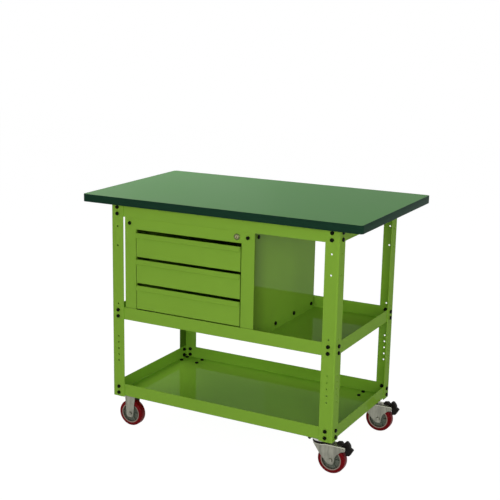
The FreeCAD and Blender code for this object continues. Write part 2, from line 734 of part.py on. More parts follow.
def drawer_front(bottom):
    """A folded front. Its top edge is turned out and down into a full-width finger pull."""
    face = CABINET_FRONT
    top = bottom + DRAWER_FRONT_HEIGHT
    lean = math.atan2(PULL_DEPTH, PULL_DROP)
    fold_reach = DRAWER_BEND * math.tan((math.pi - lean) / 2)
    fold = top + fold_reach - DRAWER_BEND - DRAWER_SHEET
    path = [
        (face + DRAWER_RETURN, bottom),
        (face, bottom),
        (face, fold),
        (face - PULL_DEPTH, fold - PULL_DEPTH / math.tan(lean)),
    ]
    front = folded_sheet(
        path, -DRAWER_SHEET, DRAWER_BEND, in_side, (FRONT_RIGHT - FRONT_LEFT, 0, 0)
    )
    front.translate(Vector(FRONT_LEFT, 0, 0))
    ahead = face - PULL_DEPTH - 2 * DRAWER_SHEET
    for x0, x1 in (
        (FRONT_LEFT, FRONT_LEFT + PULL_END_INSET),
        (FRONT_RIGHT - PULL_END_INSET, FRONT_RIGHT),
    ):
        front = front.cut(box(x0, x1, ahead, face, bottom + DRAWER_BEND, top))
    return_top = top - 2 * DRAWER_SHEET - DRAWER_BEND
    returns = [
        box(x0, x1, face, face + DRAWER_RETURN, bottom + DRAWER_BEND + DRAWER_SHEET, return_top)
        for x0, x1 in (
            (FRONT_LEFT, FRONT_LEFT + DRAWER_SHEET),
            (FRONT_RIGHT - DRAWER_SHEET, FRONT_RIGHT),
        )
    ]
    return front.fuse(returns).removeSplitter()


def drawer_box(bottom):
    """The folded body of a drawer, open at the top."""
    low = bottom + BOX_RAISE
    high = low + BOX_HEIGHT
    sheet = DRAWER_SHEET
    body = box(BOX_LEFT, BOX_RIGHT, BOX_FRONT, BOX_BACK, low, high)
    lower_edges = [
        edge for edge in body.Edges if edge.BoundBox.ZMax < low + 1e-6
    ]
    body = body.makeFillet(sheet + DRAWER_BEND, lower_edges)
    hollow = box(
        BOX_LEFT + sheet, BOX_RIGHT - sheet, BOX_FRONT + sheet, BOX_BACK - sheet,
        low + sheet, high + sheet,
    )
    floor_edges = [
        edge for edge in hollow.Edges if edge.BoundBox.ZMax < low + sheet + 1e-6
    ]
    return body.cut(hollow.makeFillet(DRAWER_BEND, floor_edges))


def drawer_runners(bottom):
    """The two angles on a drawer's sides that slide in the cabinet's rails, and the tab that
    the lock bar holds."""
    low = bottom + RUNNER_RAISE
    length = BOX_BACK - CABINET_FRONT - RUNNER_FRONT_SETBACK
    runners = []
    for x, away in ((BOX_LEFT, -1), (BOX_RIGHT, 1)):
        outer = x + away * (RUNNER_SHEET + RUNNER_FOOT)
        path = [(x, low + RUNNER_LEG), (x, low), (outer, low)]
        runner = folded_sheet(
            path, RUNNER_SHEET * away, RUNNER_SHEET / 2, in_elevation, (0, length, 0)
        )
        runner.translate(Vector(0, CABINET_FRONT + RUNNER_FRONT_SETBACK, 0))
        runners.append(runner)
    tab_front = CABINET_FRONT + TAB_SETBACK
    tab_low = bottom + HOOK_RAISE + HOOK_HEIGHT + HOOK_TO_TAB
    tab = box(
        BOX_RIGHT, OPENING_RIGHT - TAB_TO_OPENING, tab_front, tab_front + RUNNER_SHEET,
        tab_low, tab_low + HOOK_HEIGHT,
    )
    return Part.makeCompound(runners + [tab])


def cabinet_rails(bottom):
    """The fixed rails of one drawer. Each is a flange on the wall, a shelf, and a channel with
    a stop at its back end."""
    low = bottom + RUNNER_RAISE
    gap = RUNNER_CLEARANCE
    sheet = RUNNER_SHEET
    front = CABINET_FRONT + RAIL_FRONT_SETBACK
    back = BOX_BACK + gap + RAIL_STOP
    rails = []
    for box_side, wall, away in (
        (BOX_LEFT, WALL_LEFT + PANEL, -1),
        (BOX_RIGHT, WALL_RIGHT - PANEL, 1),
    ):
        shelf_top = low - gap
        foot_end = box_side + away * (sheet + RUNNER_FOOT)
        web_inner = foot_end + away * gap
        web_outer = web_inner + away * sheet
        runner_face = box_side + away * sheet
        ceiling = low + sheet + gap
        shelf_path = [
            (wall, shelf_top - sheet + RAIL_WALL_FLANGE),
            (wall, shelf_top - sheet),
            (runner_face, shelf_top - sheet),
        ]
        shelf = folded_sheet(
            shelf_path, -sheet * away, sheet / 2, in_elevation, (0, back - front, 0)
        )
        shelf.translate(Vector(0, front, 0))
        web = box(*sorted((web_inner, web_outer)), front, back, shelf_top, ceiling + sheet)
        lid_end = runner_face + away * sheet
        lid = box(*sorted((lid_end, web_outer)), front, back, ceiling, ceiling + sheet)
        stop = box(
            *sorted((lid_end, web_inner)), BOX_BACK + gap, back, shelf_top, ceiling
        )
        rails.append(shelf.fuse([web, lid, stop]).removeSplitter())
    return rails


def drawers():
    """Three drawers, each a front, a box and two runners, and the rails they run in."""
    nodes = {}
    rails = []
    for name, bottom in zip(("top", "middle", "bottom"), drawer_bottoms()):
        nodes["drawer_%s_front" % name] = drawer_front(bottom)
        nodes["drawer_%s_box" % name] = drawer_box(bottom)
        nodes["drawer_%s_runners" % name] = drawer_runners(bottom)
        rails += cabinet_rails(bottom)
    nodes["cabinet_rails"] = Part.makeCompound(rails)
    return nodes


def lock():
    """Key lock in the top rail. Its eccentric pin lifts a bar with one hook for each drawer."""
    face = CABINET_FRONT
    centre = (LOCK_X, LOCK_Z)
    barrel_end = FRAME_REAR_FACE + LOCK_BARREL_DEPTH

    def disc(radius, y0, y1, x=centre[0], z=centre[1]):
        return rod(radius, (x, y0, z), (0, 1, 0), y1 - y0)

    bore = PLUG_RADIUS + PLUG_CLEARANCE
    head = face - LOCK_HEAD_HEIGHT
    rim = LOCK_HEAD_HEIGHT / 2
    body = ring_profile(
        [
            (head, bore), (head, LOCK_HEAD_RADIUS - rim),
            (head + rim * 0.3, LOCK_HEAD_RADIUS - rim * 0.3), (head + rim, LOCK_HEAD_RADIUS),
            (face, LOCK_HEAD_RADIUS), (face, LOCK_BARREL_RADIUS),
            (barrel_end, LOCK_BARREL_RADIUS), (barrel_end, bore),
        ]
    )
    body.translate(Vector(LOCK_X, 0, LOCK_Z))
    nut = aimed(
        hexagon(LOCK_NUT_WIDTH, LOCK_NUT_HEIGHT), (LOCK_X, FRAME_REAR_FACE, LOCK_Z), (0, 1, 0)
    )
    nut = nut.cut(disc(LOCK_BARREL_RADIUS, face, barrel_end))
    plug_front = head + KEY_SLOT_WIDTH / 4
    plug = disc(PLUG_RADIUS, plug_front, CAM_FRONT)
    slot = box(
        LOCK_X - KEY_SLOT_WIDTH / 2, LOCK_X + KEY_SLOT_WIDTH / 2,
        plug_front, plug_front + KEY_SLOT_DEPTH,
        LOCK_Z - KEY_SLOT_LENGTH / 2, LOCK_Z + KEY_SLOT_LENGTH / 2,
    )
    cam = disc(CAM_WIDTH / 2, CAM_FRONT, CAM_FRONT + CAM_THICKNESS)
    cam_end = disc(CAM_PIN_RADIUS * 2, CAM_FRONT, CAM_FRONT + CAM_THICKNESS, CAM_PIN_X, CAM_PIN_Z)
    lean = math.radians(CAM_REST_ANGLE)
    half = CAM_PIN_RADIUS * 2
    across = (-math.sin(lean) * half, math.cos(lean) * half)
    web = outline(
        [
            (LOCK_X + across[0], LOCK_Z + across[1]),
            (CAM_PIN_X + across[0], CAM_PIN_Z + across[1]),
            (CAM_PIN_X - across[0], CAM_PIN_Z - across[1]),
            (LOCK_X - across[0], LOCK_Z - across[1]),
        ],
        in_elevation,
    ).extrude(Vector(0, CAM_THICKNESS, 0))
    web.translate(Vector(0, CAM_FRONT, 0))
    bar_back = LOCK_BAR_FRONT + LOCK_BAR_THICKNESS
    pin = disc(CAM_PIN_RADIUS, CAM_FRONT, bar_back + SWIVEL_GAP, CAM_PIN_X, CAM_PIN_Z)
    cam = cam.fuse([cam_end, web, pin]).removeSplitter()
    return {
        "lock_body": Part.makeCompound([body, nut]),
        "lock_plug": plug.cut(slot),
        "lock_cam": cam,
        "lock_bar": lock_bar(),
        "lock_bar_guides": lock_bar_guides(),
    }


def lock_bar():
    """A flat bar behind the right stile, with an arm over to the cam pin and a hook per drawer."""
    y0 = LOCK_BAR_FRONT
    y1 = y0 + LOCK_BAR_THICKNESS
    low = drawer_bottoms()[-1]
    arm_low = CAM_PIN_Z - LOCK_ARM_HEIGHT / 2
    arm_high = CAM_PIN_Z + LOCK_ARM_HEIGHT / 2
    slack = CAM_PIN_RADIUS + CAM_PIN_SLACK
    pin_far = LOCK_X + CAM_THROW
    arm_left = CAM_PIN_X - 2 * slack
    bar = box(LOCK_BAR_LEFT, LOCK_BAR_RIGHT, y0, y1, low, arm_high)
    arm = box(arm_left, LOCK_BAR_LEFT, y0, y1, arm_low, arm_high)
    hooks = [
        box(
            BOX_RIGHT + HOOK_TO_BOX, LOCK_BAR_LEFT, y0, y1,
            bottom + HOOK_RAISE, bottom + HOOK_RAISE + HOOK_HEIGHT,
        )
        for bottom in drawer_bottoms()
    ]
    slot = box(
        CAM_PIN_X - slack, pin_far + slack, y0, y1, CAM_PIN_Z - slack, CAM_PIN_Z + slack
    )
    return Part.makeCompound([bar, arm.cut(slot)] + hooks)


def lock_bar_guides():
    """Two guides on the right wall that keep the bar upright."""
    gap = GUIDE_CLEARANCE
    x0 = LOCK_BAR_LEFT - gap - GUIDE_WALL
    x1 = WALL_RIGHT - PANEL
    y0 = LOCK_BAR_FRONT - gap - GUIDE_WALL
    y1 = LOCK_BAR_FRONT + LOCK_BAR_THICKNESS + gap + GUIDE_WALL
    top_drawer = drawer_bottoms()[0]
    low_drawer = drawer_bottoms()[-1]
    guides = []
    for z in (low_drawer + GUIDE_HEIGHT / 2, top_drawer + BOX_HEIGHT - BOX_RAISE):
        block = box(x0, x1, y0, y1, z, z + GUIDE_HEIGHT)
        slot = box(
            LOCK_BAR_LEFT - gap, LOCK_BAR_RIGHT + gap,
            LOCK_BAR_FRONT - gap, LOCK_BAR_FRONT + LOCK_BAR_THICKNESS + gap,
            z, z + GUIDE_HEIGHT,
        )
        guides.append(block.cut(slot))
    return Part.makeCompound(guides)


def ring_profile(points):
    """A solid of revolution about the wheel's axle. Points are (along the axle, radius)."""
    corners = [Vector(0, along, radius) for along, radius in points]
    face = Part.Face(Part.makePolygon(corners + corners[:1]))
    return face.revolve(Vector(0, 0, 0), Vector(0, 1, 0), 360)


def wheel(x, y):
    """Red tread and grey hub, centred over a point on the floor."""
    half = WHEEL_WIDTH / 2
    hub_radius = WHEEL_RADIUS - TREAD_THICKNESS
    edge = TREAD_EDGE_RADIUS
    tread = ring_profile(
        [
            (-half, hub_radius), (half, hub_radius), (half, WHEEL_RADIUS - edge),
            (half - edge * 0.3, WHEEL_RADIUS - edge * 0.3), (half - edge, WHEEL_RADIUS),
            (edge - half, WHEEL_RADIUS), (edge * 0.3 - half, WHEEL_RADIUS - edge * 0.3),
            (-half, WHEEL_RADIUS - edge),
        ]
    )
    bore = SLEEVE_RADIUS + RUNNING_CLEARANCE
    rim_inner = hub_radius - HUB_RIM_THICKNESS
    boss_half = FORK_GAP / 2 - HUB_SIDE_GAP
    web_half = HUB_WEB_THICKNESS / 2
    hub = ring_profile(
        [
            (-boss_half, bore), (boss_half, bore), (boss_half, HUB_BOSS_RADIUS),
            (web_half, HUB_BOSS_RADIUS + TREAD_EDGE_RADIUS), (web_half, rim_inner),
            (half, rim_inner + TREAD_EDGE_RADIUS / 4), (half, hub_radius),
            (-half, hub_radius), (-half, rim_inner + TREAD_EDGE_RADIUS / 4),
            (-web_half, rim_inner), (-web_half, HUB_BOSS_RADIUS + TREAD_EDGE_RADIUS),
            (-boss_half, HUB_BOSS_RADIUS),
        ]
    )
    for piece in (tread, hub):
        piece.translate(Vector(x, y, WHEEL_RADIUS))
    return tread, hub


def caster_plate(x, y):
    """Mounting plate with its four bolt holes."""
    plate = rounded_block(
        x - PLATE_LENGTH / 2, x + PLATE_LENGTH / 2, y - PLATE_WIDTH / 2, y + PLATE_WIDTH / 2,
        PLATE_BOTTOM, CASTER_HEIGHT, PLATE_CORNER_RADIUS,
    )
    holes = [
        bolt_hole((bx, by, PLATE_BOTTOM), (0, 0, 1), PLATE_THICKNESS)
        for bx, by in caster_bolt_places()
        if abs(bx - x) < PLATE_LENGTH and abs(by - y) < PLATE_WIDTH
    ]
    return plate.cut(Part.makeCompound(holes))


def axle_hole(x, y):
    return rod(BOLT_RADIUS, (x, y - LEG_OUTER, WHEEL_RADIUS), (0, 1, 0), 2 * LEG_OUTER)


def axle_set(x, y):
    """Axle bolt, its nut, and the sleeve between the fork legs that the wheel turns on."""
    bolt = hex_bolt((x, y - LEG_OUTER, WHEEL_RADIUS), (0, 1, 0), 2 * LEG_OUTER + NUT_HEIGHT + 1.5)
    nut = hex_nut((x, y + LEG_OUTER, WHEEL_RADIUS), (0, 1, 0))
    sleeve = rod(SLEEVE_RADIUS, (x, y - FORK_GAP / 2, WHEEL_RADIUS), (0, 1, 0), FORK_GAP)
    bore = rod(BOLT_RADIUS, (x, y - FORK_GAP / 2, WHEEL_RADIUS), (0, 1, 0), FORK_GAP)
    return [bolt, nut, sleeve.cut(bore)]


def fork_leg(points, x, y, side):
    """One leg of a fork, from its outline in elevation, with a round end at the axle."""
    inner = FORK_GAP / 2
    leg = outline(points, in_elevation).extrude(Vector(0, FORK_WALL, 0))
    start = y + inner if side > 0 else y - inner - FORK_WALL
    leg.translate(Vector(0, start, 0))
    end = rod(FORK_END_RADIUS, (x, start, WHEEL_RADIUS), (0, 1, 0), FORK_WALL)
    return leg.fuse(end)


def rigid_fork(x, y):
    """Fixed caster: a plate with a straight two-legged fork welded under it."""
    half = RIGID_LEG_WIDTH / 2
    crown = box(
        x - half, x + half, y - LEG_OUTER, y + LEG_OUTER, PLATE_BOTTOM - FORK_WALL, PLATE_BOTTOM
    )
    points = [
        (x - half, PLATE_BOTTOM), (x + half, PLATE_BOTTOM),
        (x + FORK_END_RADIUS, WHEEL_RADIUS), (x - FORK_END_RADIUS, WHEEL_RADIUS),
    ]
    legs = [fork_leg(points, x, y, side) for side in (-1, 1)]
    fork = caster_plate(x, y).fuse([crown] + legs).removeSplitter()
    return fork.cut(axle_hole(x, y))


def swivel_plate(x, y):
    """Mounting plate of a swivel caster, with the upper ball race pressed on it."""
    race = rod(RACE_RADIUS, (x, y, CROWN_TOP + SWIVEL_GAP), (0, 0, 1),
               PLATE_BOTTOM - CROWN_TOP - SWIVEL_GAP)
    hollow = rod(RACE_BORE, (x, y, CROWN_TOP + SWIVEL_GAP), (0, 0, 1),
                 PLATE_BOTTOM - CROWN_TOP - SWIVEL_GAP)
    plate = caster_plate(x, y).fuse(race.cut(hollow)).removeSplitter()
    return plate.cut(rod(KINGPIN_RADIUS, (x, y, PLATE_BOTTOM), (0, 0, 1), PLATE_THICKNESS))


def dust_seal(x, y):
    """Black dust seal round the race, between the plate and the crown."""
    low = CROWN_TOP + SWIVEL_GAP
    ring = rod(SEAL_RADIUS, (x, y, low), (0, 0, 1), PLATE_BOTTOM - low)
    return ring.cut(rod(RACE_RADIUS, (x, y, low), (0, 0, 1), PLATE_BOTTOM - low))


def kingpin(x, y):
    """Rivet through the plate and the crown, headed under the crown."""
    head_top = CROWN_BOTTOM - SWIVEL_GAP
    pin = rod(KINGPIN_RADIUS, (x, y, head_top), (0, 0, 1), CASTER_HEIGHT - head_top)
    head = rod(KINGPIN_HEAD_RADIUS, (x, y, head_top - KINGPIN_HEAD_HEIGHT), (0, 0, 1),
               KINGPIN_HEAD_HEIGHT)
    return pin.fuse(head)


def yoke(x, y):
    """Swivelling fork: round crown, two raked legs, and the arms that carry the brake pedal."""
    axle_x = x + SWIVEL_TRAIL
    pivot_x = x + PEDAL_PIVOT_REACH
    crown = rod(CROWN_RADIUS, (x, y, CROWN_BOTTOM), (0, 0, 1), CROWN_THICKNESS)
    bridge = box(
        x, pivot_x - PEDAL_ARM_RADIUS - CROWN_THICKNESS, y - LEG_OUTER, y + LEG_OUTER,
        CROWN_BOTTOM, CROWN_TOP,
    )
    arm_top = PEDAL_PIVOT_Z + PEDAL_ARM_RADIUS
    arm_low = PEDAL_PIVOT_Z - PEDAL_ARM_RADIUS
    lap = CROWN_RADIUS * LEG_LAP
    points = [
        (x - lap, CROWN_TOP),
        (pivot_x - 2 * PEDAL_ARM_RADIUS, CROWN_TOP),
        (pivot_x - PEDAL_ARM_RADIUS, arm_top),
        (pivot_x, arm_top),
        (pivot_x, arm_low),
        (pivot_x - PEDAL_ARM_RADIUS, arm_low - 0.35 * PEDAL_ARM_RADIUS),
        (axle_x + 2.0 * FORK_END_RADIUS, WHEEL_RADIUS + 2.0 * FORK_END_RADIUS),
        (axle_x + 1.5 * FORK_END_RADIUS, WHEEL_RADIUS + 1.6 * FORK_END_RADIUS),
        (axle_x + FORK_END_RADIUS, WHEEL_RADIUS + 0.9 * FORK_END_RADIUS),
        (axle_x + 0.85 * FORK_END_RADIUS, WHEEL_RADIUS),
        (axle_x - 0.85 * FORK_END_RADIUS, WHEEL_RADIUS - 0.5 * FORK_END_RADIUS),
        (axle_x - 1.4 * FORK_END_RADIUS, WHEEL_RADIUS - 0.2 * FORK_END_RADIUS),
        (x, WHEEL_RADIUS + 1.2 * FORK_END_RADIUS),
        (x - lap, CROWN_BOTTOM),
    ]
    legs = []
    for side in (-1, 1):
        leg = fork_leg(points, axle_x, y, side)
        start = y + FORK_GAP / 2 if side > 0 else y - LEG_OUTER
        knuckle = rod(PEDAL_ARM_RADIUS, (pivot_x, start, PEDAL_PIVOT_Z), (0, 1, 0), FORK_WALL)
        legs.append(leg.fuse(knuckle))
    fork = crown.fuse([bridge] + legs).removeSplitter()
    fork = fork.cut(axle_hole(axle_x, y))
    pivot_hole = rod(PEDAL_PIN_RADIUS, (pivot_x, y - LEG_OUTER, PEDAL_PIVOT_Z), (0, 1, 0),
                     2 * LEG_OUTER)
    bore = rod(KINGPIN_RADIUS + RUNNING_CLEARANCE, (x, y, CROWN_BOTTOM), (0, 0, 1),
               CROWN_THICKNESS)
    return fork.cut(pivot_hole).cut(bore)


def pedal_pin(x, y):
    """Pin through the yoke's arms that the brake pedal turns on."""
    pivot_x = x + PEDAL_PIVOT_REACH
    return rod(PEDAL_PIN_RADIUS, (pivot_x, y - LEG_OUTER, PEDAL_PIVOT_Z), (0, 1, 0),
               2 * LEG_OUTER)


def brake_pedal(x, y):
    """Moulded pedal: a narrow lever over the crown, an upright release fin and a toe to press
    down, on a barrel as wide as the fork, with a shoe that comes down on the tread."""
    pivot_x = x + PEDAL_PIVOT_REACH
    pivot_z = PEDAL_PIVOT_Z
    hub = PEDAL_HUB_RADIUS
    fin_top = CASTER_HEIGHT - PEDAL_TOP_CLEARANCE - pivot_z
    lever_low = CROWN_TOP + PEDAL_LEVER_GAP - pivot_z
    lever_top = min(PEDAL_LEVER_TOP, fin_top)
    shape = [
        (-31, lever_low), (-31, lever_top - 5), (-28, lever_top - 2.5), (-15, lever_top),
        (-12, lever_top - 1.5), (-6, lever_top - 7), (-4, lever_top - 7), (2, fin_top),
        (9, fin_top), (17, 17), (20, 11), (21, 3), (26, 1), (29, -1), (31, -5), (28, -9),
        (19, -25), (5, -27), (2, -hub), (-hub, 0), (-hub, hub), (-13, lever_low),
    ]
    points = [(pivot_x + along, pivot_z + up) for along, up in shape]
    half = FORK_GAP / 2 - PEDAL_SIDE_GAP
    body = outline(points, in_elevation).extrude(Vector(0, 2 * PEDAL_FIN_HALF_WIDTH, 0))
    body.translate(Vector(0, y - PEDAL_FIN_HALF_WIDTH, 0))
    barrel = rod(hub, (pivot_x, y - half, pivot_z), (0, 1, 0), 2 * half)

    axle_x = x + SWIVEL_TRAIL
    run = math.hypot(pivot_x - axle_x, pivot_z - WHEEL_RADIUS)
    toward_wheel = math.atan2(WHEEL_RADIUS - pivot_z, axle_x - pivot_x)
    rest_angle = toward_wheel + math.radians(PEDAL_STROKE)
    reach = run - WHEEL_RADIUS - SHOE_GAP - SHOE_RADIUS
    shoe_x = pivot_x + reach * math.cos(rest_angle)
    shoe_z = pivot_z + reach * math.sin(rest_angle)
    shoe = rod(SHOE_RADIUS, (shoe_x, y - half, shoe_z), (0, 1, 0), 2 * half)
    across_x = -math.sin(rest_angle) * SHOE_RADIUS
    across_z = math.cos(rest_angle) * SHOE_RADIUS
    neck = outline(
        [
            (pivot_x + across_x, pivot_z + across_z), (shoe_x + across_x, shoe_z + across_z),
            (shoe_x - across_x, shoe_z - across_z), (pivot_x - across_x, pivot_z - across_z),
        ],
        in_elevation,
    ).extrude(Vector(0, 2 * half, 0))
    neck.translate(Vector(0, y - half, 0))
    pedal = body.fuse([barrel, shoe, neck]).removeSplitter()
    bore = rod(PEDAL_PIN_RADIUS + RUNNING_CLEARANCE, (pivot_x, y - half, pivot_z), (0, 1, 0),
               2 * half)
    return pedal.cut(bore)


def casters():
    """Fixed casters on the left, swivel casters with brakes on the right."""
    nodes = {}
    rigid_axles = []
    seals = []
    kingpins = []
    for end, y in (("front", FRONT_CASTER_Y), ("back", BACK_CASTER_Y)):
        left = end + "_left"
        right = end + "_right"
        nodes["rigid_fork_" + left] = rigid_fork(LEFT_CASTER_X, y)
        rigid_axles += axle_set(LEFT_CASTER_X, y)
        tread, hub = wheel(LEFT_CASTER_X, y)
        nodes["wheel_tread_" + left] = tread
        nodes["wheel_hub_" + left] = hub

        axle_x = RIGHT_CASTER_X + SWIVEL_TRAIL
        nodes["swivel_plate_" + right] = swivel_plate(RIGHT_CASTER_X, y)
        seals.append(dust_seal(RIGHT_CASTER_X, y))
        kingpins.append(kingpin(RIGHT_CASTER_X, y))
        nodes["yoke_" + right] = yoke(RIGHT_CASTER_X, y)
        pins = axle_set(axle_x, y) + [pedal_pin(RIGHT_CASTER_X, y)]
        nodes["yoke_pins_" + right] = Part.makeCompound(pins)
        nodes["brake_pedal_" + right] = brake_pedal(RIGHT_CASTER_X, y)
        tread, hub = wheel(axle_x, y)
        nodes["wheel_tread_" + right] = tread
        nodes["wheel_hub_" + right] = hub
    nodes["rigid_caster_axles"] = Part.makeCompound(rigid_axles)
    nodes["swivel_dust_seals"] = Part.makeCompound(seals)
    nodes["kingpins"] = Part.makeCompound(kingpins)
    return nodes


def main():
    os.makedirs("parts", exist_ok=True)
    nodes = {}
    for make in (
        tabletop, tabletop_screws, posts, aprons, trays, fasteners, cabinet_shell, drawers,
        lock, casters,
    ):
        nodes.update(make())
    for name, shape in nodes.items():
        if not shape.isValid() or any(solid.Volume <= 0 for solid in shape.Solids):
            raise ValueError("bad solid in " + name)
        shape.exportStep("parts/" + name + ".step")
    print(len(nodes), "nodes,", sum(len(shape.Solids) for shape in nodes.values()), "solids")


main()
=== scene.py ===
"""Looks of a mobile work table: powder-coated sheet, laminate top, black fasteners, casters.

Metres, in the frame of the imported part. +X runs along the long side, the drawers face -Y.
Shapes are drawn in millimetres and scaled once, when a piece is finished.
"""

import math

import bmesh
import bpy
from mathutils import Matrix, Vector


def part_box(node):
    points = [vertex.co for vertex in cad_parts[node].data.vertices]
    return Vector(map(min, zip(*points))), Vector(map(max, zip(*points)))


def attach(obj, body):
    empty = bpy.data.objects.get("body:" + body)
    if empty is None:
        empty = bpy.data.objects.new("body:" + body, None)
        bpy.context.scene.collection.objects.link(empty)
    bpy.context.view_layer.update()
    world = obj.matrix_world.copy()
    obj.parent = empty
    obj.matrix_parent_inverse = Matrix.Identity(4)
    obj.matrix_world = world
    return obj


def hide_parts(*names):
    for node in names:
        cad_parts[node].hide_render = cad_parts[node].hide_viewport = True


bl_info = {
    "name": "Mobile work table",
    "version": (1, 0, 0),
    "blender": (4, 5, 0),
    "location": "View3D > Sidebar > Work table",
    "description": "Dresses the packed work table with finished pieces, paint and casters",
    "category": "Object",
}

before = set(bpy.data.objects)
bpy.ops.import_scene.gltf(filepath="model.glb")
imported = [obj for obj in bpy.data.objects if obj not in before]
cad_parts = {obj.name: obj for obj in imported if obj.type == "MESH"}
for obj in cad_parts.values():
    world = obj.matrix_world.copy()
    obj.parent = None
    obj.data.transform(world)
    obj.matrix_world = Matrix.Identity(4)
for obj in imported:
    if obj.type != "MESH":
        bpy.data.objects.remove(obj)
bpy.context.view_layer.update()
MM = 0.001
FIXED = ("front_left", "back_left")
SWIVELLING = ("front_right", "back_right")
CORNERS = ("front_left", "front_right", "back_left", "back_right")
DRAWERS = ("top", "middle", "bottom")

# Sheet, bolts and screws of the CAD part, in millimetres
SHEET = 2
POST_BOLT_INSET = 27.3
HOLE_PITCH = 25.0
FRAME_GRIP, CASTER_GRIP, STILE_GRIP, WALL_GRIP = 5, 6, 6.5, 4.5
STILE_BOLTS = (-373.5, 133.5)
UPPER_BOLT_DROP, UPPER_BOLT_DEPTH = 20.5, 35
WALL_ROW_FRONT, WALL_ROW_BACK, WALL_ROW_UP = 191, 29, 24
SCREW_INSET = 13.5

# Casters of the CAD part, in millimetres from the floor and from a plate's middle
PLATE_HALF_X, PLATE_HALF_Y = 51, 34
PLATE_BOLTS = [(side_x * 38, side_y * 22.5) for side_x in (-1, 1) for side_y in (-1, 1)]
PLATE_LOW, PLATE_HIGH = 129.0, 133.0
CROWN_TOP = 111.0
FORK_INNER, FORK_OUTER = 18.0, 21.0
AXLE_Z = 52.5
AXLE_TRAIL = 44
WHEEL_RADIUS = 52.5
PEDAL_X, PEDAL_Z = 92, 103.0
PEDAL_STROKE = 12
FIN_HALF = 8.0
SHOE_RADIUS = 4
SHOE_GAP = 0.3
PLATE_CORNER, PLATE_HOLE = 8, 4.5
AXLE_RADIUS, AXLE_BORE = 4, 4.1
SLEEVE_RADIUS, SLEEVE_BORE = 6, 6.05
KINGPIN_RADIUS, KINGPIN_BORE = 6.0, 6.05
PEDAL_PIN, PEDAL_BORE = 3.0, 3.05

# Ribs in millimetres: their length, depth and thickness, and where a hub's ribs sit
HUB_RIB = (21.5, 7.0, 3.2)
HUB_RIB_RADIUS, HUB_RIB_SIDE = 24.3, 7.5
GRIP_RIB = (1.0, 14.2, 1.2)

# Light of the white room on the table, as a share of what the camera sees of it
AMBIENT = 0.17

# Every finish under its name; some are copies of the green paint with painted shade, or of the
# caster zinc with a painted highlight
MATERIALS = {}


def box_mm(node):
    """A node's lowest and highest corners in millimetres."""
    low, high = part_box(node)
    return low / MM, high / MM


def middle_mm(node):
    low, high = box_mm(node)
    return (low + high) / 2


def new_object(name, data):
    """An object in the scene, at the origin."""
    made = bpy.data.objects.new(name, data)
    bpy.context.scene.collection.objects.link(made)
    return made


# Sizes and colours that a user would change


def length(name, description, default):
    return bpy.props.FloatProperty(
        name=name, description=description, default=default * MM, min=0.0, unit="LENGTH"
    )


def colour(name, description, default):
    return bpy.props.FloatVectorProperty(
        name=name, description=description, default=default, size=3, min=0.0, max=1.0,
        subtype="COLOR",
    )


class TableSizes(bpy.types.PropertyGroup):
    """Sizes of the details that are drawn here and not in the CAD part."""

    sheet_ease: length("Sheet edge", "Rounding of the cut edges of painted sheet", 0.35)
    board_ease: length("Board edge", "Rounding of the tabletop's edge band", 1.2)
    band_width: length("Edge band", "Thickness of the edge band", 2.0)
    board_radius: length("Board corner", "Corner radius of the tabletop", 12.0)
    head_flats: length("Head width", "Bolt head and nut across their flats", 13.0)
    head_height: length("Head height", "Height of a bolt head", 5.3)
    nut_height: length("Nut height", "Height of a nut", 6.5)
    shank_radius: length("Shank radius", "Radius of the bolts' shanks", 4.0)
    shank_length: length("Shank length", "Length of the bolts' shanks", 16.0)
    ribs: bpy.props.IntProperty(
        name="Hub ribs", description="Ribs on each side of a wheel hub", default=6, min=3
    )


class TableColours(bpy.types.PropertyGroup):
    """Colours of the finishes."""

    paint: colour("Paint", "Powder coat on all sheet metal", (0.302, 0.560, 0.0530))
    laminate: colour("Laminate", "Tabletop laminate", (0.1100, 0.4000, 0.0770))
    edge_band: colour("Edge band", "Plastic band round the top", (0.0137, 0.0508, 0.0283))
    tread: colour("Tread", "Polyurethane tread", (0.210, 0.0035, 0.0065))
    hub: colour("Hub", "Painted wheel hub", (0.158, 0.176, 0.138))
    caster: colour("Caster metal", "Plated fork and plate", (0.245, 0.245, 0.200))
    black: colour("Bolts", "Black oxide of bolts and nuts", (0.0059, 0.0088, 0.0029))


def sizes():
    return bpy.context.scene.work_table_sizes


def colours():
    return bpy.context.scene.work_table_colours


# Node graphs written as expressions


class Field:
    """An output socket. One that holds a number takes part in arithmetic: each operation
    adds a Math node."""

    def __init__(self, graph, socket):
        self.graph = graph
        self.socket = socket

    def math(self, operation, first, second):
        return self.graph.field("ShaderNodeMath", {0: first, 1: second}, operation=operation)

    def __add__(self, other):
        return self.math("ADD", self, other)

    def __sub__(self, other):
        return self.math("SUBTRACT", self, other)

    def __rsub__(self, other):
        return self.math("SUBTRACT", other, self)

    def __mul__(self, other):
        return self.math("MULTIPLY", self, other)

    def off(self, level):
        """Distance from a level, on either side of it."""
        return self.math("ABSOLUTE", self - level, 0.0)

    def above(self, level, width):
        """0 below the level and 1 above it, with a soft step of the given width."""
        return self.graph.field(
            "ShaderNodeMapRange", {0: self, 1: level - width / 2, 2: level + width / 2},
            interpolation_type="SMOOTHSTEP",
        )

    __radd__ = __add__
    __rmul__ = __mul__


def blend(fields, weights):
    """Fields added up, each by its weight."""
    first, *others = [field * weight for field, weight in zip(fields, weights) if weight]
    for other in others:
        first = first + other
    return first


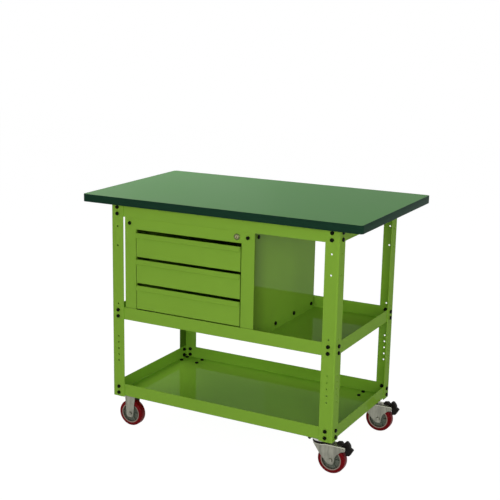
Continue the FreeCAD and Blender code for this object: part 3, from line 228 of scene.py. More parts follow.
class Graph:
    """A node tree, emptied and filled by one method."""

    def __init__(self, tree):
        self.tree = tree
        tree.nodes.clear()

    def node(self, kind, sockets=None, **settings):
        """A node of the given type with its settings, then its sockets' values or links."""
        made = self.tree.nodes.new(kind)
        for key, value in settings.items():
            setattr(made, key, value)
        for key, values in (sockets or {}).items():
            for value in values if isinstance(values, list) else [values]:
                source = value.socket if isinstance(value, Field) else value
                if isinstance(source, bpy.types.NodeSocket):
                    self.tree.links.new(source, made.inputs[key])
                else:
                    made.inputs[key].default_value = source
        return made

    def field(self, kind, sockets=None, **settings):
        return Field(self, self.node(kind, sockets, **settings).outputs[0])


class Finish(Graph):
    """A procedural material on one Principled shader, patterned in Object coordinates."""

    def __init__(self, name, metallic=0.0, specular=0.5, coat=0.0, coat_rough=0.05):
        self.material = bpy.data.materials.new(name)
        self.material.use_nodes = True
        super().__init__(self.material.node_tree)
        self.place = self.node("ShaderNodeTexCoord").outputs["Object"]
        self.shader = self.node("ShaderNodeBsdfPrincipled", {
            "Metallic": metallic, "Specular IOR Level": specular, "Coat Weight": coat,
            "Coat Roughness": coat_rough,
        })
        self.node("ShaderNodeOutputMaterial", {"Surface": self.shader.outputs[0]})

    def noise(self, size_mm, detail, stretch=(1, 1, 1)):
        """Soft noise whose blotches are about the given size."""
        where = self.node("ShaderNodeMapping", {"Vector": self.place, "Scale": stretch})
        return self.field("ShaderNodeTexNoise", {
            "Vector": where.outputs[0], "Scale": 1 / (size_mm * MM), "Detail": detail,
        })

    def chips(self, size_mm):
        """A random level for each cell of about the given size."""
        where = {"Vector": self.place, "Scale": 1 / (size_mm * MM)}
        cells = self.node("ShaderNodeTexVoronoi", where)
        return self.field("ShaderNodeSeparateColor", {0: cells.outputs["Color"]})

    def axis(self, name):
        """One of the three coordinates, in millimetres."""
        parts = self.node("ShaderNodeSeparateXYZ", {0: self.place})
        return Field(self, parts.outputs[name]) * (1 / MM)

    def mix(self, factor, first, second):
        """A colour between two others."""
        ends = [(*c, 1.0) if isinstance(c, (tuple, list)) else c for c in (first, second)]
        sockets = {0: factor, 6: ends[0], 7: ends[1]}
        return self.node("ShaderNodeMix", sockets, data_type="RGBA").outputs[2]

    def vary(self, base, share, amount):
        """The base colour, made lighter and darker by a field from 0 to 1."""
        dark = tuple(part * (1 - amount) for part in base)
        light = tuple(min(1.0, part * (1 + amount)) for part in base)
        return self.mix(share, dark, light)

    def done(self, base_color, roughness, height, depth_mm, strength):
        """The material, with its colour, roughness and fine relief."""
        bump = self.node("ShaderNodeBump", {
            "Strength": strength, "Distance": depth_mm * MM, "Height": height,
        })
        inputs = self.shader.inputs
        self.tree.links.new(base_color, inputs["Base Color"])
        self.tree.links.new(roughness.socket, inputs["Roughness"])
        self.tree.links.new(bump.outputs[0], inputs["Normal"])
        return self.material


def surface(name, base, layers, tone, contrast, rough, offset, bump, **shader):
    """A finish from layers of noise, each given as its size in millimetres and its detail.

    Tone, rough and bump weigh the layers for colour, roughness and relief. The contrast
    scales the tone and the offset is added to the roughness.
    """
    finish = Finish(name, **shader)
    fields = [finish.noise(*layer) for layer in layers]
    weights, depth, strength = bump
    paint = finish.vary(tuple(base), blend(fields, tone), contrast)
    roughness = blend(fields, rough) + offset
    return finish.done(paint, roughness, blend(fields, weights), depth, strength)


def powder_coat(name, coat, shade=None):
    """Glossy powder coat with its slight orange peel. The shade, a field from 0 to 1, is where
    painted shade darkens the coat's colour, in recesses and gaps between parts."""
    finish = Finish(name, specular=0.0, coat=coat)
    clouds, peel, fleck = finish.noise(160, 2), finish.noise(1.6, 1.5), finish.noise(0.5, 1)
    base = tuple(colours().paint)
    paint = finish.vary(base, clouds * 0.7 + peel * 0.3, 0.07)
    # Painted shade: the colour darkened towards a third of itself where the shade field reaches 1
    if shade:
        paint = finish.mix(shade(finish), paint, tuple(part * 0.3 for part in base))
    return finish.done(paint, clouds * 0.06 + 0.42, peel * 0.8 + fleck * 0.2, 0.035, 0.55)


def flange_painted_shade(finish):
    """Painted shade on the inner face of the left posts' side flange."""
    inner = box_mm("post_front_left")[0].x + 2.5
    return (1.0 - finish.axis("X").off(inner).above(0.8, 0.6)) * 0.9


def drawer_end_painted_shade(finish):
    """Painted shade in narrow lines down the ends of the drawer fronts, for the shade in the gaps
    beside them.
    """
    low, high = box_mm("drawer_top_front")
    side = finish.axis("X").off((low.x + high.x) / 2)
    return side.above((high.x - low.x) / 2 - 1.6, 1.6) * 0.8


def tray_line_painted_shade(finish):
    """Painted shade in a line where the cabinet's front stands in the middle tray."""
    seam = box_mm("middle_tray")[1].z
    return (1.0 - finish.axis("Z").above(seam + 3.4, 2.4)) * 0.5


def stile_shade(finish):
    """Painted shade on the cabinet's walls behind the stiles, fading towards the back."""
    front = box_mm("cabinet_front_frame")[0].y
    return (1.0 - finish.axis("Y").above(front + 55, 150)) * 0.75


def crown_painted_highlight(finish):
    """A painted highlight along the upper edge of a swivelling fork."""
    return finish.axis("Z").above(CROWN_TOP - 2.6, 0.8)


def plated_steel(name, base, grain, roughness, stretch=(1, 1, 1), contrast=0.16, highlight=None):
    """Zinc or nickel plate with a drawn or rolled grain. The highlight, a field from 0 to 1, is
    where a painted highlight brightens the plate."""
    finish = Finish(name, metallic=0.9)
    clouds = finish.noise(14, 3)
    lines = finish.noise(grain, 2, stretch).above(0.5, 0.4)
    plate = finish.vary(base, clouds * 0.4 + lines * 0.6, contrast)
    # Painted highlight: the colour brightened up to 2.2 times along the field's mask
    if highlight:
        plate = finish.mix(highlight(finish), plate, tuple(min(1.0, part * 2.2) for part in base))
    rough = clouds * 0.16 + lines * 0.1 + (roughness - 0.13)
    return finish.done(plate, rough, lines, 0.015, 0.35)


def particle_board():
    """Pressed chips, as seen from below."""
    finish = Finish("board_core", specular=0.2)
    chips, dust = finish.chips(2.4), finish.noise(0.7, 2)
    wood = finish.mix(chips * 0.7 + dust * 0.3, (0.20, 0.125, 0.06), (0.52, 0.38, 0.22))
    return finish.done(wood, dust * 0.15 + 0.75, chips * 0.5 + dust * 0.5, 0.12, 0.6)


def polyurethane():
    """Cast tread, semi-gloss, a little scuffed."""
    finish = Finish("tread_red", specular=0.05, coat=0.02, coat_rough=0.12)
    scuff, fine = finish.noise(6, 4), finish.noise(0.7, 2)
    worn = finish.mix(
        scuff.above(0.62, 0.16) * 0.35, tuple(colours().tread), (0.10, 0.035, 0.035)
    )
    return finish.done(worn, scuff * 0.2 + 0.3, fine, 0.02, 0.3)


def make_materials():
    """Every finish under its name."""
    own = colours()
    caster = (tuple(own.caster), 9.0, 0.38, (1, 1, 0.2), 0.34)
    MATERIALS.update(
        green_paint=powder_coat("green_paint", 0.1),
        # The next four are copies of the green paint with painted shade from the masks above
        post_paint=powder_coat("green_paint_post", 0.1, flange_painted_shade),
        front_paint=powder_coat("green_paint_front", 0.1, tray_line_painted_shade),
        drawer_paint=powder_coat("green_paint_drawers", 0.1, drawer_end_painted_shade),
        glossy_paint=powder_coat("green_paint_cabinet", 0.22, stile_shade),
        laminate=surface(
            "laminate", own.laminate, [(240, 2), (0.9, 2)], (0.5, 0.5), 0.09,
            (0.05, 0.05), 0.30, ((0, 1), 0.03, 0.5), specular=0.02,
        ),
        edge_band=surface(
            "edge_band", own.edge_band, [(3.0, 3, (0.05, 0.05, 1.0)), (0.8, 1)], (1, 0), 0.25,
            (0, 0.08), 0.38, ((0, 1), 0.02, 0.4), specular=0.02,
        ),
        board_core=particle_board(),
        black_steel=surface(
            "black_steel", own.black, [(2.0, 3)], (1,), 0.45,
            (0.2,), 0.4, ((1,), 0.02, 0.4), metallic=0.05, specular=0.03,
        ),
        zinc_steel=plated_steel("zinc_steel", (0.56, 0.56, 0.53), 0.8, 0.36, (1, 0.1, 1)),
        caster_zinc=plated_steel("caster_zinc", *caster),
        # Caster zinc with a painted highlight along the fork's upper edge
        yoke_zinc=plated_steel("yoke_zinc", *caster, crown_painted_highlight),
        hub_rim=plated_steel("hub_rim", (0.21, 0.165, 0.135), 0.8, 0.42),
        lock_case=plated_steel("lock_case", (0.12, 0.15, 0.05), 0.4, 0.26),
        lock_nickel=plated_steel("lock_nickel", (0.36, 0.34, 0.19), 0.4, 0.26),
        tread_red=polyurethane(),
        hub_grey=surface(
            "hub_grey", own.hub, [(9, 3), (0.6, 2)], (0.6, 0.4), 0.18,
            (0.15, 0), 0.42, ((0, 1), 0.05, 0.5), metallic=0.15, specular=0.12,
        ),
        black_plastic=surface(
            "black_plastic", (0.014, 0.0119, 0.0105), [(0.5, 2), (12, 2)], (0, 1), 0.3,
            (0.15, 0), 0.42, ((1, 0), 0.03, 0.5), specular=0.07,
        ),
    )


# Shapes


def rounded(points, radius, steps=5):
    """A closed outline with rounded corners. A corner may carry its own radius as a third
    number."""
    result = []
    for k, point in enumerate(points):
        here = Vector(point[:2])
        before = Vector(points[k - 1][:2]) - here
        after = Vector(points[(k + 1) % len(points)][:2]) - here
        own = point[2] if len(point) > 2 else radius
        half_angle = before.angle(after) / 2
        reach = min(own / math.tan(half_angle), before.length * 0.49, after.length * 0.49)
        if reach < 1e-4 or half_angle > math.radians(89):
            result.append((here.x, here.y))
            continue
        before.normalize()
        after.normalize()
        from_corner = reach * math.tan(half_angle) / math.sin(half_angle)
        centre = here + (before + after).normalized() * from_corner
        first = here + before * reach - centre
        sweep = first.angle_signed(here + after * reach - centre)
        for step in range(steps + 1):
            turned = first.copy()
            turned.rotate(Matrix.Rotation(-sweep * step / steps, 2))
            result.append(((centre + turned).x, (centre + turned).y))
    return result


def circle(x, y, radius, steps=48):
    angles = [2 * math.pi / steps * k for k in range(steps)]
    return [(x + radius * math.cos(angle), y + radius * math.sin(angle)) for angle in angles]


def rectangle(x, y, half_x, half_y):
    return [
        (x - half_x, y - half_y), (x + half_x, y - half_y), (x + half_x, y + half_y),
        (x - half_x, y + half_y),
    ]


def elevation(y):
    """Places an outline drawn in X and Z, at a Y."""
    return lambda u, v, w: (u, y + w, v)


def plan(z):
    """Places an outline drawn in X and Y, at a height."""
    return lambda u, v, w: (u, v, z + w)


def shade_smooth(work, limit):
    """Smooth shading, apart from edges that turn by more than the limit."""
    for face in work.faces:
        face.smooth = True
    for edge in work.edges:
        edge.smooth = len(edge.link_faces) != 2 or edge.calc_face_angle(math.pi) < limit


class Form:
    """A mesh in the making, in millimetres."""

    def __init__(self):
        self.mesh = bmesh.new()

    def turned(self, profile, centre, axis="Y", steps=72):
        """A solid of revolution from a closed profile of (along, radius)."""
        x, y, z = Matrix.Identity(3)
        along_axis, out, side = (y, x, z) if axis == "Y" else (z, x, y)
        rings = []
        for along, radius in profile:
            base = Vector(centre) + along_axis * along
            if radius < 1e-6:
                rings.append([self.mesh.verts.new(base)] * steps)
                continue
            ring = []
            for k in range(steps):
                angle = 2 * math.pi * k / steps
                place = base + (out * math.cos(angle) + side * math.sin(angle)) * radius
                ring.append(self.mesh.verts.new(place))
            rings.append(ring)
        for first, second in zip(rings, rings[1:] + rings[:1]):
            for k in range(steps):
                n = (k + 1) % steps
                loop = []
                for corner in (first[k], first[n], second[n], second[k]):
                    if corner not in loop:
                        loop.append(corner)
                if len(loop) > 2:
                    self.mesh.faces.new(loop)
        return self

    def plate(self, outer, thickness, place, holes=()):
        """A flat plate from an outline and its holes."""
        work = bmesh.new()
        edges = []
        for loop in (outer, *holes):
            corners = [work.verts.new((u, v, 0)) for u, v in loop]
            for a, b in zip(corners, corners[1:] + corners[:1]):
                edges.append(work.edges.new((a, b)))
        if holes:
            bmesh.ops.triangle_fill(work, use_beauty=True, edges=edges)
        else:
            work.faces.new(work.verts)
        raised = bmesh.ops.extrude_face_region(work, geom=list(work.faces))["geom"]
        upper = [item for item in raised if isinstance(item, bmesh.types.BMVert)]
        bmesh.ops.translate(work, verts=upper, vec=(0, 0, thickness))
        if holes:
            kept = [face for face in work.faces if abs(face.normal.z) > 0.9]
            flat = list({edge for face in kept for edge in face.edges})
            bmesh.ops.dissolve_limit(work, angle_limit=0.001, edges=flat, verts=[])
        for vert in work.verts:
            vert.co = place(*vert.co)
        return self.take(work)

    def swept_rim(self, half_x, half_y, radius, section, steps=8):
        """A closed rim round a rectangle. The section is a loop of (inset, height)."""
        loops = []
        for inset, height in section:
            x, y = half_x - inset, half_y - inset
            corners = [(x, y), (-x, y), (-x, -y), (x, -y)]
            line = rounded(corners, max(radius - inset, 0.2), steps)
            loops.append([self.mesh.verts.new((u, v, height)) for u, v in line])
        for first, second in zip(loops, loops[1:] + loops[:1]):
            for k in range(len(first)):
                n = (k + 1) % len(first)
                self.mesh.faces.new((first[k], first[n], second[n], second[k]))
        return self

    def take(self, other):
        """Adds another mesh."""
        data = bpy.data.meshes.new("part")
        other.to_mesh(data)
        other.free()
        self.mesh.from_mesh(data)
        bpy.data.meshes.remove(data)
        return self

    def copy_of(self, node):
        """Adds a CAD node as one joined surface with whole flat faces."""
        work = bmesh.new()
        work.from_mesh(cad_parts[node].data)
        bmesh.ops.scale(work, vec=(1 / MM,) * 3, verts=work.verts)
        bmesh.ops.remove_doubles(work, verts=work.verts, dist=0.002)
        bmesh.ops.dissolve_limit(
            work, angle_limit=math.radians(0.15), verts=work.verts, edges=work.edges
        )
        return self.take(work)

    def to_object(self, name):
        """The form as an object, in metres, outward and shaded smooth up to an angle."""
        work = self.mesh
        bmesh.ops.recalc_face_normals(work, faces=work.faces)
        bmesh.ops.scale(work, vec=(MM,) * 3, verts=work.verts)
        shade_smooth(work, math.radians(32.0))
        data = bpy.data.meshes.new(name)
        work.to_mesh(data)
        work.free()
        return new_object(name, data)


def settle(made):
    """Turns an object's modifiers into its mesh."""
    bpy.context.view_layer.update()
    depsgraph = bpy.context.evaluated_depsgraph_get()
    data = bpy.data.meshes.new_from_object(made.evaluated_get(depsgraph))
    made.modifiers.clear()
    old = made.data
    made.data = data
    bpy.data.meshes.remove(old)
    data.name = made.name
    return made


def ease_edges(made, width_mm, segments, angle=35.0):
    """Rounds the sharp edges and keeps the flats flat in the shading."""
    bevel = made.modifiers.new("ease", "BEVEL")
    bevel.limit_method = "ANGLE"
    bevel.angle_limit = math.radians(angle)
    bevel.width = width_mm * MM
    bevel.segments = segments
    bevel.use_clamp_overlap = False
    bevel.miter_outer = "MITER_ARC"
    normals = made.modifiers.new("flats", "WEIGHTED_NORMAL")
    normals.keep_sharp = True
    return settle(made)


def dress(made, material, body, nodes):
    """Gives a finished piece its material and body, and hides its CAD nodes."""
    made.data.materials.clear()
    made.data.materials.append(MATERIALS[material])
    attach(made, body)
    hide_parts(*nodes)
    return made


def make(name, form, material, body, node, ease=0, segments=2):
    """A finished piece from a form."""
    made = form.to_object(name)
    if ease:
        ease_edges(made, ease, segments)
    return dress(made, material, body, [node])


def folded(node, material="green_paint", body="frame", ease=None):
    """A sheet-metal piece after its CAD node, with its cut edges eased."""
    width = sizes().sheet_ease / MM if ease is None else ease
    return make(node + "_sheet", Form().copy_of(node), material, body, node, width)


def join_meshes(made, others):
    """Adds other objects' meshes to the first and removes them."""
    work = bmesh.new()
    for item in (made, *others):
        work.from_mesh(item.data)
    work.to_mesh(made.data)
    work.free()
    for item in others:
        data = item.data
        bpy.data.objects.remove(item)
        bpy.data.meshes.remove(data)
    return made


# Fasteners, as Geometry Nodes


class Tree(Graph):
    """A Geometry Nodes tree with inputs given by label and kind."""

    def __init__(self, name, **inputs):
        super().__init__(bpy.data.node_groups.new(name, "GeometryNodeTree"))
        face = self.tree.interface
        for label, kind in {"Geometry": "Geometry", **inputs, "Material": "Material"}.items():
            face.new_socket(label, in_out="INPUT", socket_type="NodeSocket" + kind)
        face.new_socket("Geometry", in_out="OUTPUT", socket_type="NodeSocketGeometry")
        self.start = self.node("NodeGroupInput")

    def given(self, label):
        return Field(self, self.start.outputs[label])

    def lifted(self, geometry, height):
        """Geometry moved along Z."""
        step = self.field("ShaderNodeCombineXYZ", {"Z": height})
        return self.field("GeometryNodeTransform", {"Geometry": geometry, "Translation": step})

    def prism(self, sides, radius, low, high):
        """A cylinder or prism between two heights."""
        sockets = {"Vertices": sides, "Radius": radius, "Depth": high - low}
        made = self.field("GeometryNodeMeshCylinder", sockets)
        return self.lifted(made, (high + low) * 0.5)

    def hexagon(self, flats, low, high):
        """A hexagonal prism of a width across its flats."""
        return self.prism(6, flats * (1 / math.sqrt(3)), low, high)

    def cone(self, low_radius, high_radius, low, high, sides=30):
        """A truncated cone between two heights."""
        made = self.field("GeometryNodeMeshCone", {
            "Vertices": sides, "Radius Bottom": low_radius, "Radius Top": high_radius,
            "Depth": high - low,
        })
        return self.lifted(made, low)

    def solid(self, operation, first, others):
        """A union, intersection or difference of meshes."""
        cut = operation == "DIFFERENCE"
        sockets = {0: first, 1: others} if cut else {1: [first] + others}
        return self.field(
            "GeometryNodeMeshBoolean", sockets, operation=operation, solver="EXACT"
        )

    def scatter(self, shapes, spin=True):
        """One instance of the shapes on each point, along its aim, made real and finished."""
        joined = self.field("GeometryNodeJoinGeometry", {0: shapes})
        aim = self.field(
            "GeometryNodeInputNamedAttribute", {"Name": "aim"}, data_type="FLOAT_VECTOR"
        )
        rotation = self.field("FunctionNodeAlignRotationToVector", {"Vector": aim}, axis="Z")
        if spin:
            angle = self.node(
                "FunctionNodeRandomValue",
                {2: 0.0, 3: 2 * math.pi, "Seed": self.given("Seed")}, data_type="FLOAT",
            )
            about = self.field("FunctionNodeAxisAngleToRotation", {"Angle": angle.outputs[1]})
            rotation = self.field(
                "FunctionNodeRotateRotation", {0: rotation, 1: about}, rotation_space="LOCAL"
            )
        spread = self.field("GeometryNodeInstanceOnPoints", {
            "Points": self.given("Geometry"), "Instance": joined, "Rotation": rotation,
        })
        real = self.field("GeometryNodeRealizeInstances", {0: spread})
        coated = self.field("GeometryNodeSetMaterial", {
            "Geometry": real, "Material": self.given("Material"),
        })
        self.node("NodeGroupOutput", {0: coated})
        return self.tree


# Details of the fasteners, in metres or as shares of the head's width
WASHER = 0.0004
TIP = 0.0008
CROSS_WIDTH, CROSS_LENGTH, CROSS_DEPTH = 0.0008, 0.0046, 0.003
CHAMFER_SLOPE = 1.73
CHAMFER_FACE = 0.475


def fastener_tree(name):
    """A tree of fasteners, and its four sizes."""
    tree = Tree(name, Flats="Float", Height="Float", Radius="Float", Length="Float", Seed="Int")
    return tree, *(tree.given(label) for label in ("Flats", "Height", "Radius", "Length"))


def bolt_tree():
    """A hexagon bolt whose head sits on its point and whose shank runs along the aim."""
    tree, flats, height, radius, shank = fastener_tree("hexagon_bolt")
    face = flats * CHAMFER_FACE
    hexagon = tree.hexagon(flats, height * -1.2, -WASHER)
    crown = tree.cone(face, face + height * CHAMFER_SLOPE, height * -1, 0)
    head = tree.solid("INTERSECT", hexagon, [crown])
    washer = tree.prism(24, flats * 0.46, WASHER * -1.5, 0)
    stem = tree.prism(16, radius, -WASHER, shank - TIP)
    tip = tree.cone(radius, radius - TIP, shank - TIP, shank, 16)
    return tree.scatter([head, washer, stem, tip])


def nut_tree():
    """A chamfered nut that starts on its point and runs along the aim."""
    tree, flats, height, radius, _ = fastener_tree("hexagon_nut")
    face = flats * CHAMFER_FACE
    wide = face + height * CHAMFER_SLOPE
    hexagon = tree.hexagon(flats, height * -0.2, height * 1.2)
    lower = tree.cone(face, wide, 0, height * 1.1)
    upper = tree.cone(wide, face, height * -0.1, height)
    bore = tree.prism(16, radius, height * -0.3, height * 1.3)
    body = tree.solid("INTERSECT", hexagon, [lower, upper])
    return tree.scatter([tree.solid("DIFFERENCE", body, [bore])])


def screw_tree():
    """A pan-head screw with a cross recess."""
    tree, flats, height, radius, shank = fastener_tree("pan_screw")
    brim = tree.cone(flats * 0.5, flats * 0.5, height * -0.55, 0, 24)
    dome = tree.cone(flats * 0.36, flats * 0.5, height * -1, height * -0.55, 24)
    bars = []
    for across in ((CROSS_WIDTH, CROSS_LENGTH), (CROSS_LENGTH, CROSS_WIDTH)):
        bar = tree.field("GeometryNodeMeshCube", {"Size": (*across, CROSS_DEPTH)})
        bars.append(tree.lifted(bar, height * -1))
    head = tree.solid("DIFFERENCE", tree.solid("UNION", brim, [dome]), bars)
    stem = tree.cone(radius, radius * 0.55, height * -0.1, shank, 12)
    return tree.scatter([head, stem])


def rib_tree():
    """Short bars standing out from an axis, one on each point."""
    tree = Tree("ribs", Long="Float", Deep="Float", Thick="Float")
    size = tree.field("ShaderNodeCombineXYZ", {
        "X": tree.given("Thick"), "Y": tree.given("Deep"), "Z": tree.given("Long"),
    })
    return tree.scatter([tree.field("GeometryNodeMeshCube", {"Size": size})], spin=False)


def repeat(name, tree, places, inputs):
    """Runs a tree on points given as (place in mm, aim), and keeps the result as a mesh."""
    data = bpy.data.meshes.new(name)
    data.from_pydata([Vector(place) * MM for place, aim in places], [], [])
    aims = data.attributes.new("aim", "FLOAT_VECTOR", "POINT")
    for entry, (place, aim) in zip(aims.data, places):
        entry.vector = aim
    made = new_object(name, data)
    modifier = made.modifiers.new("repeat", "NODES")
    modifier.node_group = tree
    for item in tree.interface.items_tree:
        if item.item_type == "SOCKET" and item.in_out == "INPUT" and item.name in inputs:
            modifier[item.identifier] = inputs[item.name]
    settle(made)
    if not made.data.polygons:
        raise RuntimeError(name + ": the node tree made no faces")
    work = bmesh.new()
    work.from_mesh(made.data)
    bmesh.ops.remove_doubles(work, verts=work.verts, dist=1e-7)
    bmesh.ops.recalc_face_normals(work, faces=work.faces)
    shade_smooth(work, 0.5)
    work.to_mesh(made.data)
    work.free()
    if "aim" in made.data.attributes:
        made.data.attributes.remove(made.data.attributes["aim"])
    return made


def fastener_inputs(material, seed=7, **own):
    """Inputs of a fastener's tree: the user's sizes, or a fastener's own in millimetres."""
    size = sizes()
    inputs = {
        "Flats": size.head_flats, "Height": size.head_height, "Radius": size.shank_radius,
        "Length": size.shank_length, "Seed": seed, "Material": MATERIALS[material],
    }
    inputs.update((name, value * MM) for name, value in own.items())
    return inputs


def rib_inputs(material, along, deep, thick):
    """Inputs of the ribs' tree, from millimetres."""
    return {
        "Long": along * MM, "Deep": deep * MM, "Thick": thick * MM,
        "Material": MATERIALS[material],
    }


def frame_bolt_points():
    """Where the bolts of posts, aprons and trays sit, and the directions they run in."""
    middles = [middle_mm(node).z for node in ("apron_right", "middle_tray", "lower_tray")]
    heights = [middle + side * HOLE_PITCH / 2 for middle in middles for side in (-1, 1)]
    points = []
    for corner in CORNERS:
        low, high = box_mm("post_" + corner)
        x, into_x = (low.x, 1) if "left" in corner else (high.x, -1)
        y, into_y = (low.y, 1) if "front" in corner else (high.y, -1)
        for z in heights:
            points.append(((x + into_x * POST_BOLT_INSET, y, z), (0, into_y, 0)))
            points.append(((x, y + into_y * POST_BOLT_INSET, z), (into_x, 0, 0)))
    return points


def caster_middle(corner):
    """The point on the floor under the middle of a caster plate."""
    low, high = box_mm(("rigid_fork_" if corner in FIXED else "swivel_plate_") + corner)
    return (low.x + high.x) / 2, (low.y + high.y) / 2


def caster_bolt_points():
    """Through the lower tray's floor and the caster plates."""
    z = box_mm("lower_tray")[0].z + SHEET
    middles = [caster_middle(corner) for corner in CORNERS]
    return [((x + dx, y + dy, z), (0, 0, -1)) for x, y in middles for dx, dy in PLATE_BOLTS]


def cabinet_bolt_points():
    """Each bolt through the cabinet, its direction, and the thickness that it clamps."""
    low, high = box_mm("cabinet_front_frame")
    left, right = box_mm("cabinet_left_side")[0].x, box_mm("cabinet_right_side")[1].x
    floor = box_mm("cabinet_left_side")[0].z
    back = box_mm("cabinet_left_side")[1].y
    upper = high.z - UPPER_BOLT_DROP
    points = [((x, low.y, upper), (0, 1, 0), STILE_GRIP) for x in STILE_BOLTS]
    first, last = low.y + WALL_ROW_FRONT, back - WALL_ROW_BACK
    row = [(first + (last - first) * k / 2, floor + WALL_ROW_UP) for k in range(3)]
    for x, into in ((left, 1), (right, -1)):
        for y, z in [(low.y + UPPER_BOLT_DEPTH, upper), *row]:
            points.append(((x, y, z), (into, 0, 0), WALL_GRIP))
    return points


def nut_points():
    """Behind everything that a bolt of the frame, the casters or the cabinet clamps."""
    clamped = [(place, aim, FRAME_GRIP) for place, aim in frame_bolt_points()]
    clamped += [(place, aim, CASTER_GRIP) for place, aim in caster_bolt_points()]
    clamped += cabinet_bolt_points()
    return [(tuple(p + grip * a for p, a in zip(place, aim)), aim) for place, aim, grip in clamped]


def screw_points():
    """Eight screws up through the aprons' flanges."""
    z = box_mm("apron_front")[1].z - SHEET
    front = box_mm("apron_front")[0].y + SCREW_INSET
    back = box_mm("apron_back")[1].y - SCREW_INSET
    left = box_mm("apron_left")[0].x + SCREW_INSET
    right = box_mm("apron_right")[1].x - SCREW_INSET
    post_left, post_right = box_mm("post_front_left")[0].x, box_mm("post_front_right")[1].x
    centre_x, quarter = (post_left + post_right) / 2, (post_right - post_left) / 4
    centre_y = (box_mm("post_front_left")[0].y + box_mm("post_back_left")[1].y) / 2
    places = [(centre_x + quarter * step, y, z) for y in (front, back) for step in (-1, 0, 1)]
    places += [(left, centre_y, z), (right, centre_y, z)]
    return [(place, (0, 0, 1)) for place in places]


# Pieces of the casters


def caster_plate(x, y, bore=None):
    """Mounting plate with its bolt holes."""
    outer = rounded(rectangle(x, y, PLATE_HALF_X, PLATE_HALF_Y), PLATE_CORNER, 8)
    holes = [circle(x + dx, y + dy, PLATE_HOLE, 24) for dx, dy in PLATE_BOLTS]
    if bore:
        holes.append(circle(x, y, bore, 32))
    return Form().plate(outer, PLATE_HIGH - PLATE_LOW, plan(PLATE_LOW), holes)


def legs(form, outline, axle_x, y, holes=()):
    """The two legs of a fork, with their axle holes and any others."""
    bores = [circle(axle_x, AXLE_Z, AXLE_BORE, 24), *holes]
    for start in (-FORK_OUTER, FORK_INNER):
        form.plate(outline, FORK_OUTER - FORK_INNER, elevation(y + start), bores)
    return form


def mirrored(profile):
    """The other side of a wheel's profile, from its last point back to its first."""
    return [(-along, radius) for along, radius in reversed(profile)]


def pin(half, radius):
    """Profile of a pin with eased ends."""
    return [
        (-half, 0), (-half, radius - 0.4), (0.4 - half, radius), (half - 0.4, radius),
        (half, radius - 0.4), (half, 0),
    ]


def axle_set(name, axles, body, node, pins=()):
    """Axle bolts, nuts and sleeves, and any further pins, as one piece."""
    heads = [((x, y - FORK_OUTER, AXLE_Z), (0, 1, 0)) for x, y in axles]
    ends = [((x, y + FORK_OUTER, AXLE_Z), (0, 1, 0)) for x, y in axles]
    long_shank = fastener_inputs("caster_zinc", Length=2 * FORK_OUTER + 8)
    tall = fastener_inputs("caster_zinc", Height=sizes().nut_height / MM)
    bolts = repeat(name, bolt_tree(), heads, long_shank)
    nuts = repeat(name + "_nuts", nut_tree(), ends, tall)
    tubes = Form()
    sleeve = [
        (-FORK_INNER, AXLE_RADIUS), (-FORK_INNER, SLEEVE_RADIUS), (FORK_INNER, SLEEVE_RADIUS),
        (FORK_INNER, AXLE_RADIUS),
    ]
    for x, y in axles:
        tubes.turned(sleeve, (x, y, AXLE_Z), steps=36)
    for x, y, z, radius in pins:
        tubes.turned(pin(FORK_OUTER, radius), (x, y, z), steps=32)
    made = join_meshes(bolts, [nuts, tubes.to_object(name + "_sleeves")])
    return dress(made, "caster_zinc", body, [node])


def shoe_middle(axle_x, pivot_x):
    """The middle of a pedal's shoe at rest, a stroke off the tread."""
    run = math.hypot(pivot_x - axle_x, PEDAL_Z - AXLE_Z)
    angle = math.atan2(AXLE_Z - PEDAL_Z, axle_x - pivot_x) + math.radians(PEDAL_STROKE)
    reach = run - WHEEL_RADIUS - SHOE_GAP - SHOE_RADIUS
    return pivot_x + reach * math.cos(angle), PEDAL_Z + reach * math.sin(angle)


# Operators, one for each group of pieces


class Maker:
    """What the operators share."""

    bl_options = {"REGISTER"}


class WORKTABLE_OT_finishes(Maker, bpy.types.Operator):
    """Make the procedural materials"""

    bl_idname = "worktable.finishes"
    bl_label = "Finishes"

    def execute(self, context):
        make_materials()
        return {"FINISHED"}


class WORKTABLE_OT_tabletop(Maker, bpy.types.Operator):
    """Make the board, its laminate and its edge band"""

    bl_idname = "worktable.tabletop"
    bl_label = "Tabletop"

    def execute(self, context):
        low, high = box_mm("tabletop_edge_band")
        half_x, half_y = (high.x - low.x) / 2, (high.y - low.y) / 2
        size = sizes()
        band, ease = size.band_width / MM, size.board_ease / MM
        radius = size.board_radius / MM
        soft, seam, sheet = ease * 0.3, 0.15, 1.0
        section = [
            (band, low.z), (ease, low.z), (soft, low.z + soft), (0, low.z + ease),
            (0, high.z - ease), (soft, high.z - soft), (ease, high.z), (band, high.z),
        ]
        strip = Form().swept_rim(half_x, half_y, radius, section)
        make("tabletop_edge_strip", strip, "edge_band", "frame", "tabletop_edge_band")
        x, y = half_x - band - seam, half_y - band - seam
        line = rounded([(x, y), (-x, y), (-x, -y), (x, -y)], radius - band, 8)
        top = Form().plate(line, sheet, plan(high.z - sheet))
        make("tabletop_sheet", top, "laminate", "frame", "tabletop_laminate", 0.2, 1)
        board = Form().plate(line, high.z - sheet - low.z, plan(low.z))
        make("tabletop_board", board, "board_core", "frame", "tabletop_core")
        return {"FINISHED"}


class WORKTABLE_OT_frame(Maker, bpy.types.Operator):
    """Make the posts, aprons and trays"""

    bl_idname = "worktable.frame_sheet"
    bl_label = "Posts, aprons and trays"

    def execute(self, context):
        for corner in CORNERS:
            folded("post_" + corner, "post_paint" if corner in FIXED else "green_paint")
        for side in ("front", "back", "left", "right"):
            folded("apron_" + side)
        for tray in ("middle_tray", "lower_tray"):
            folded(tray, ease=0.7)
        return {"FINISHED"}


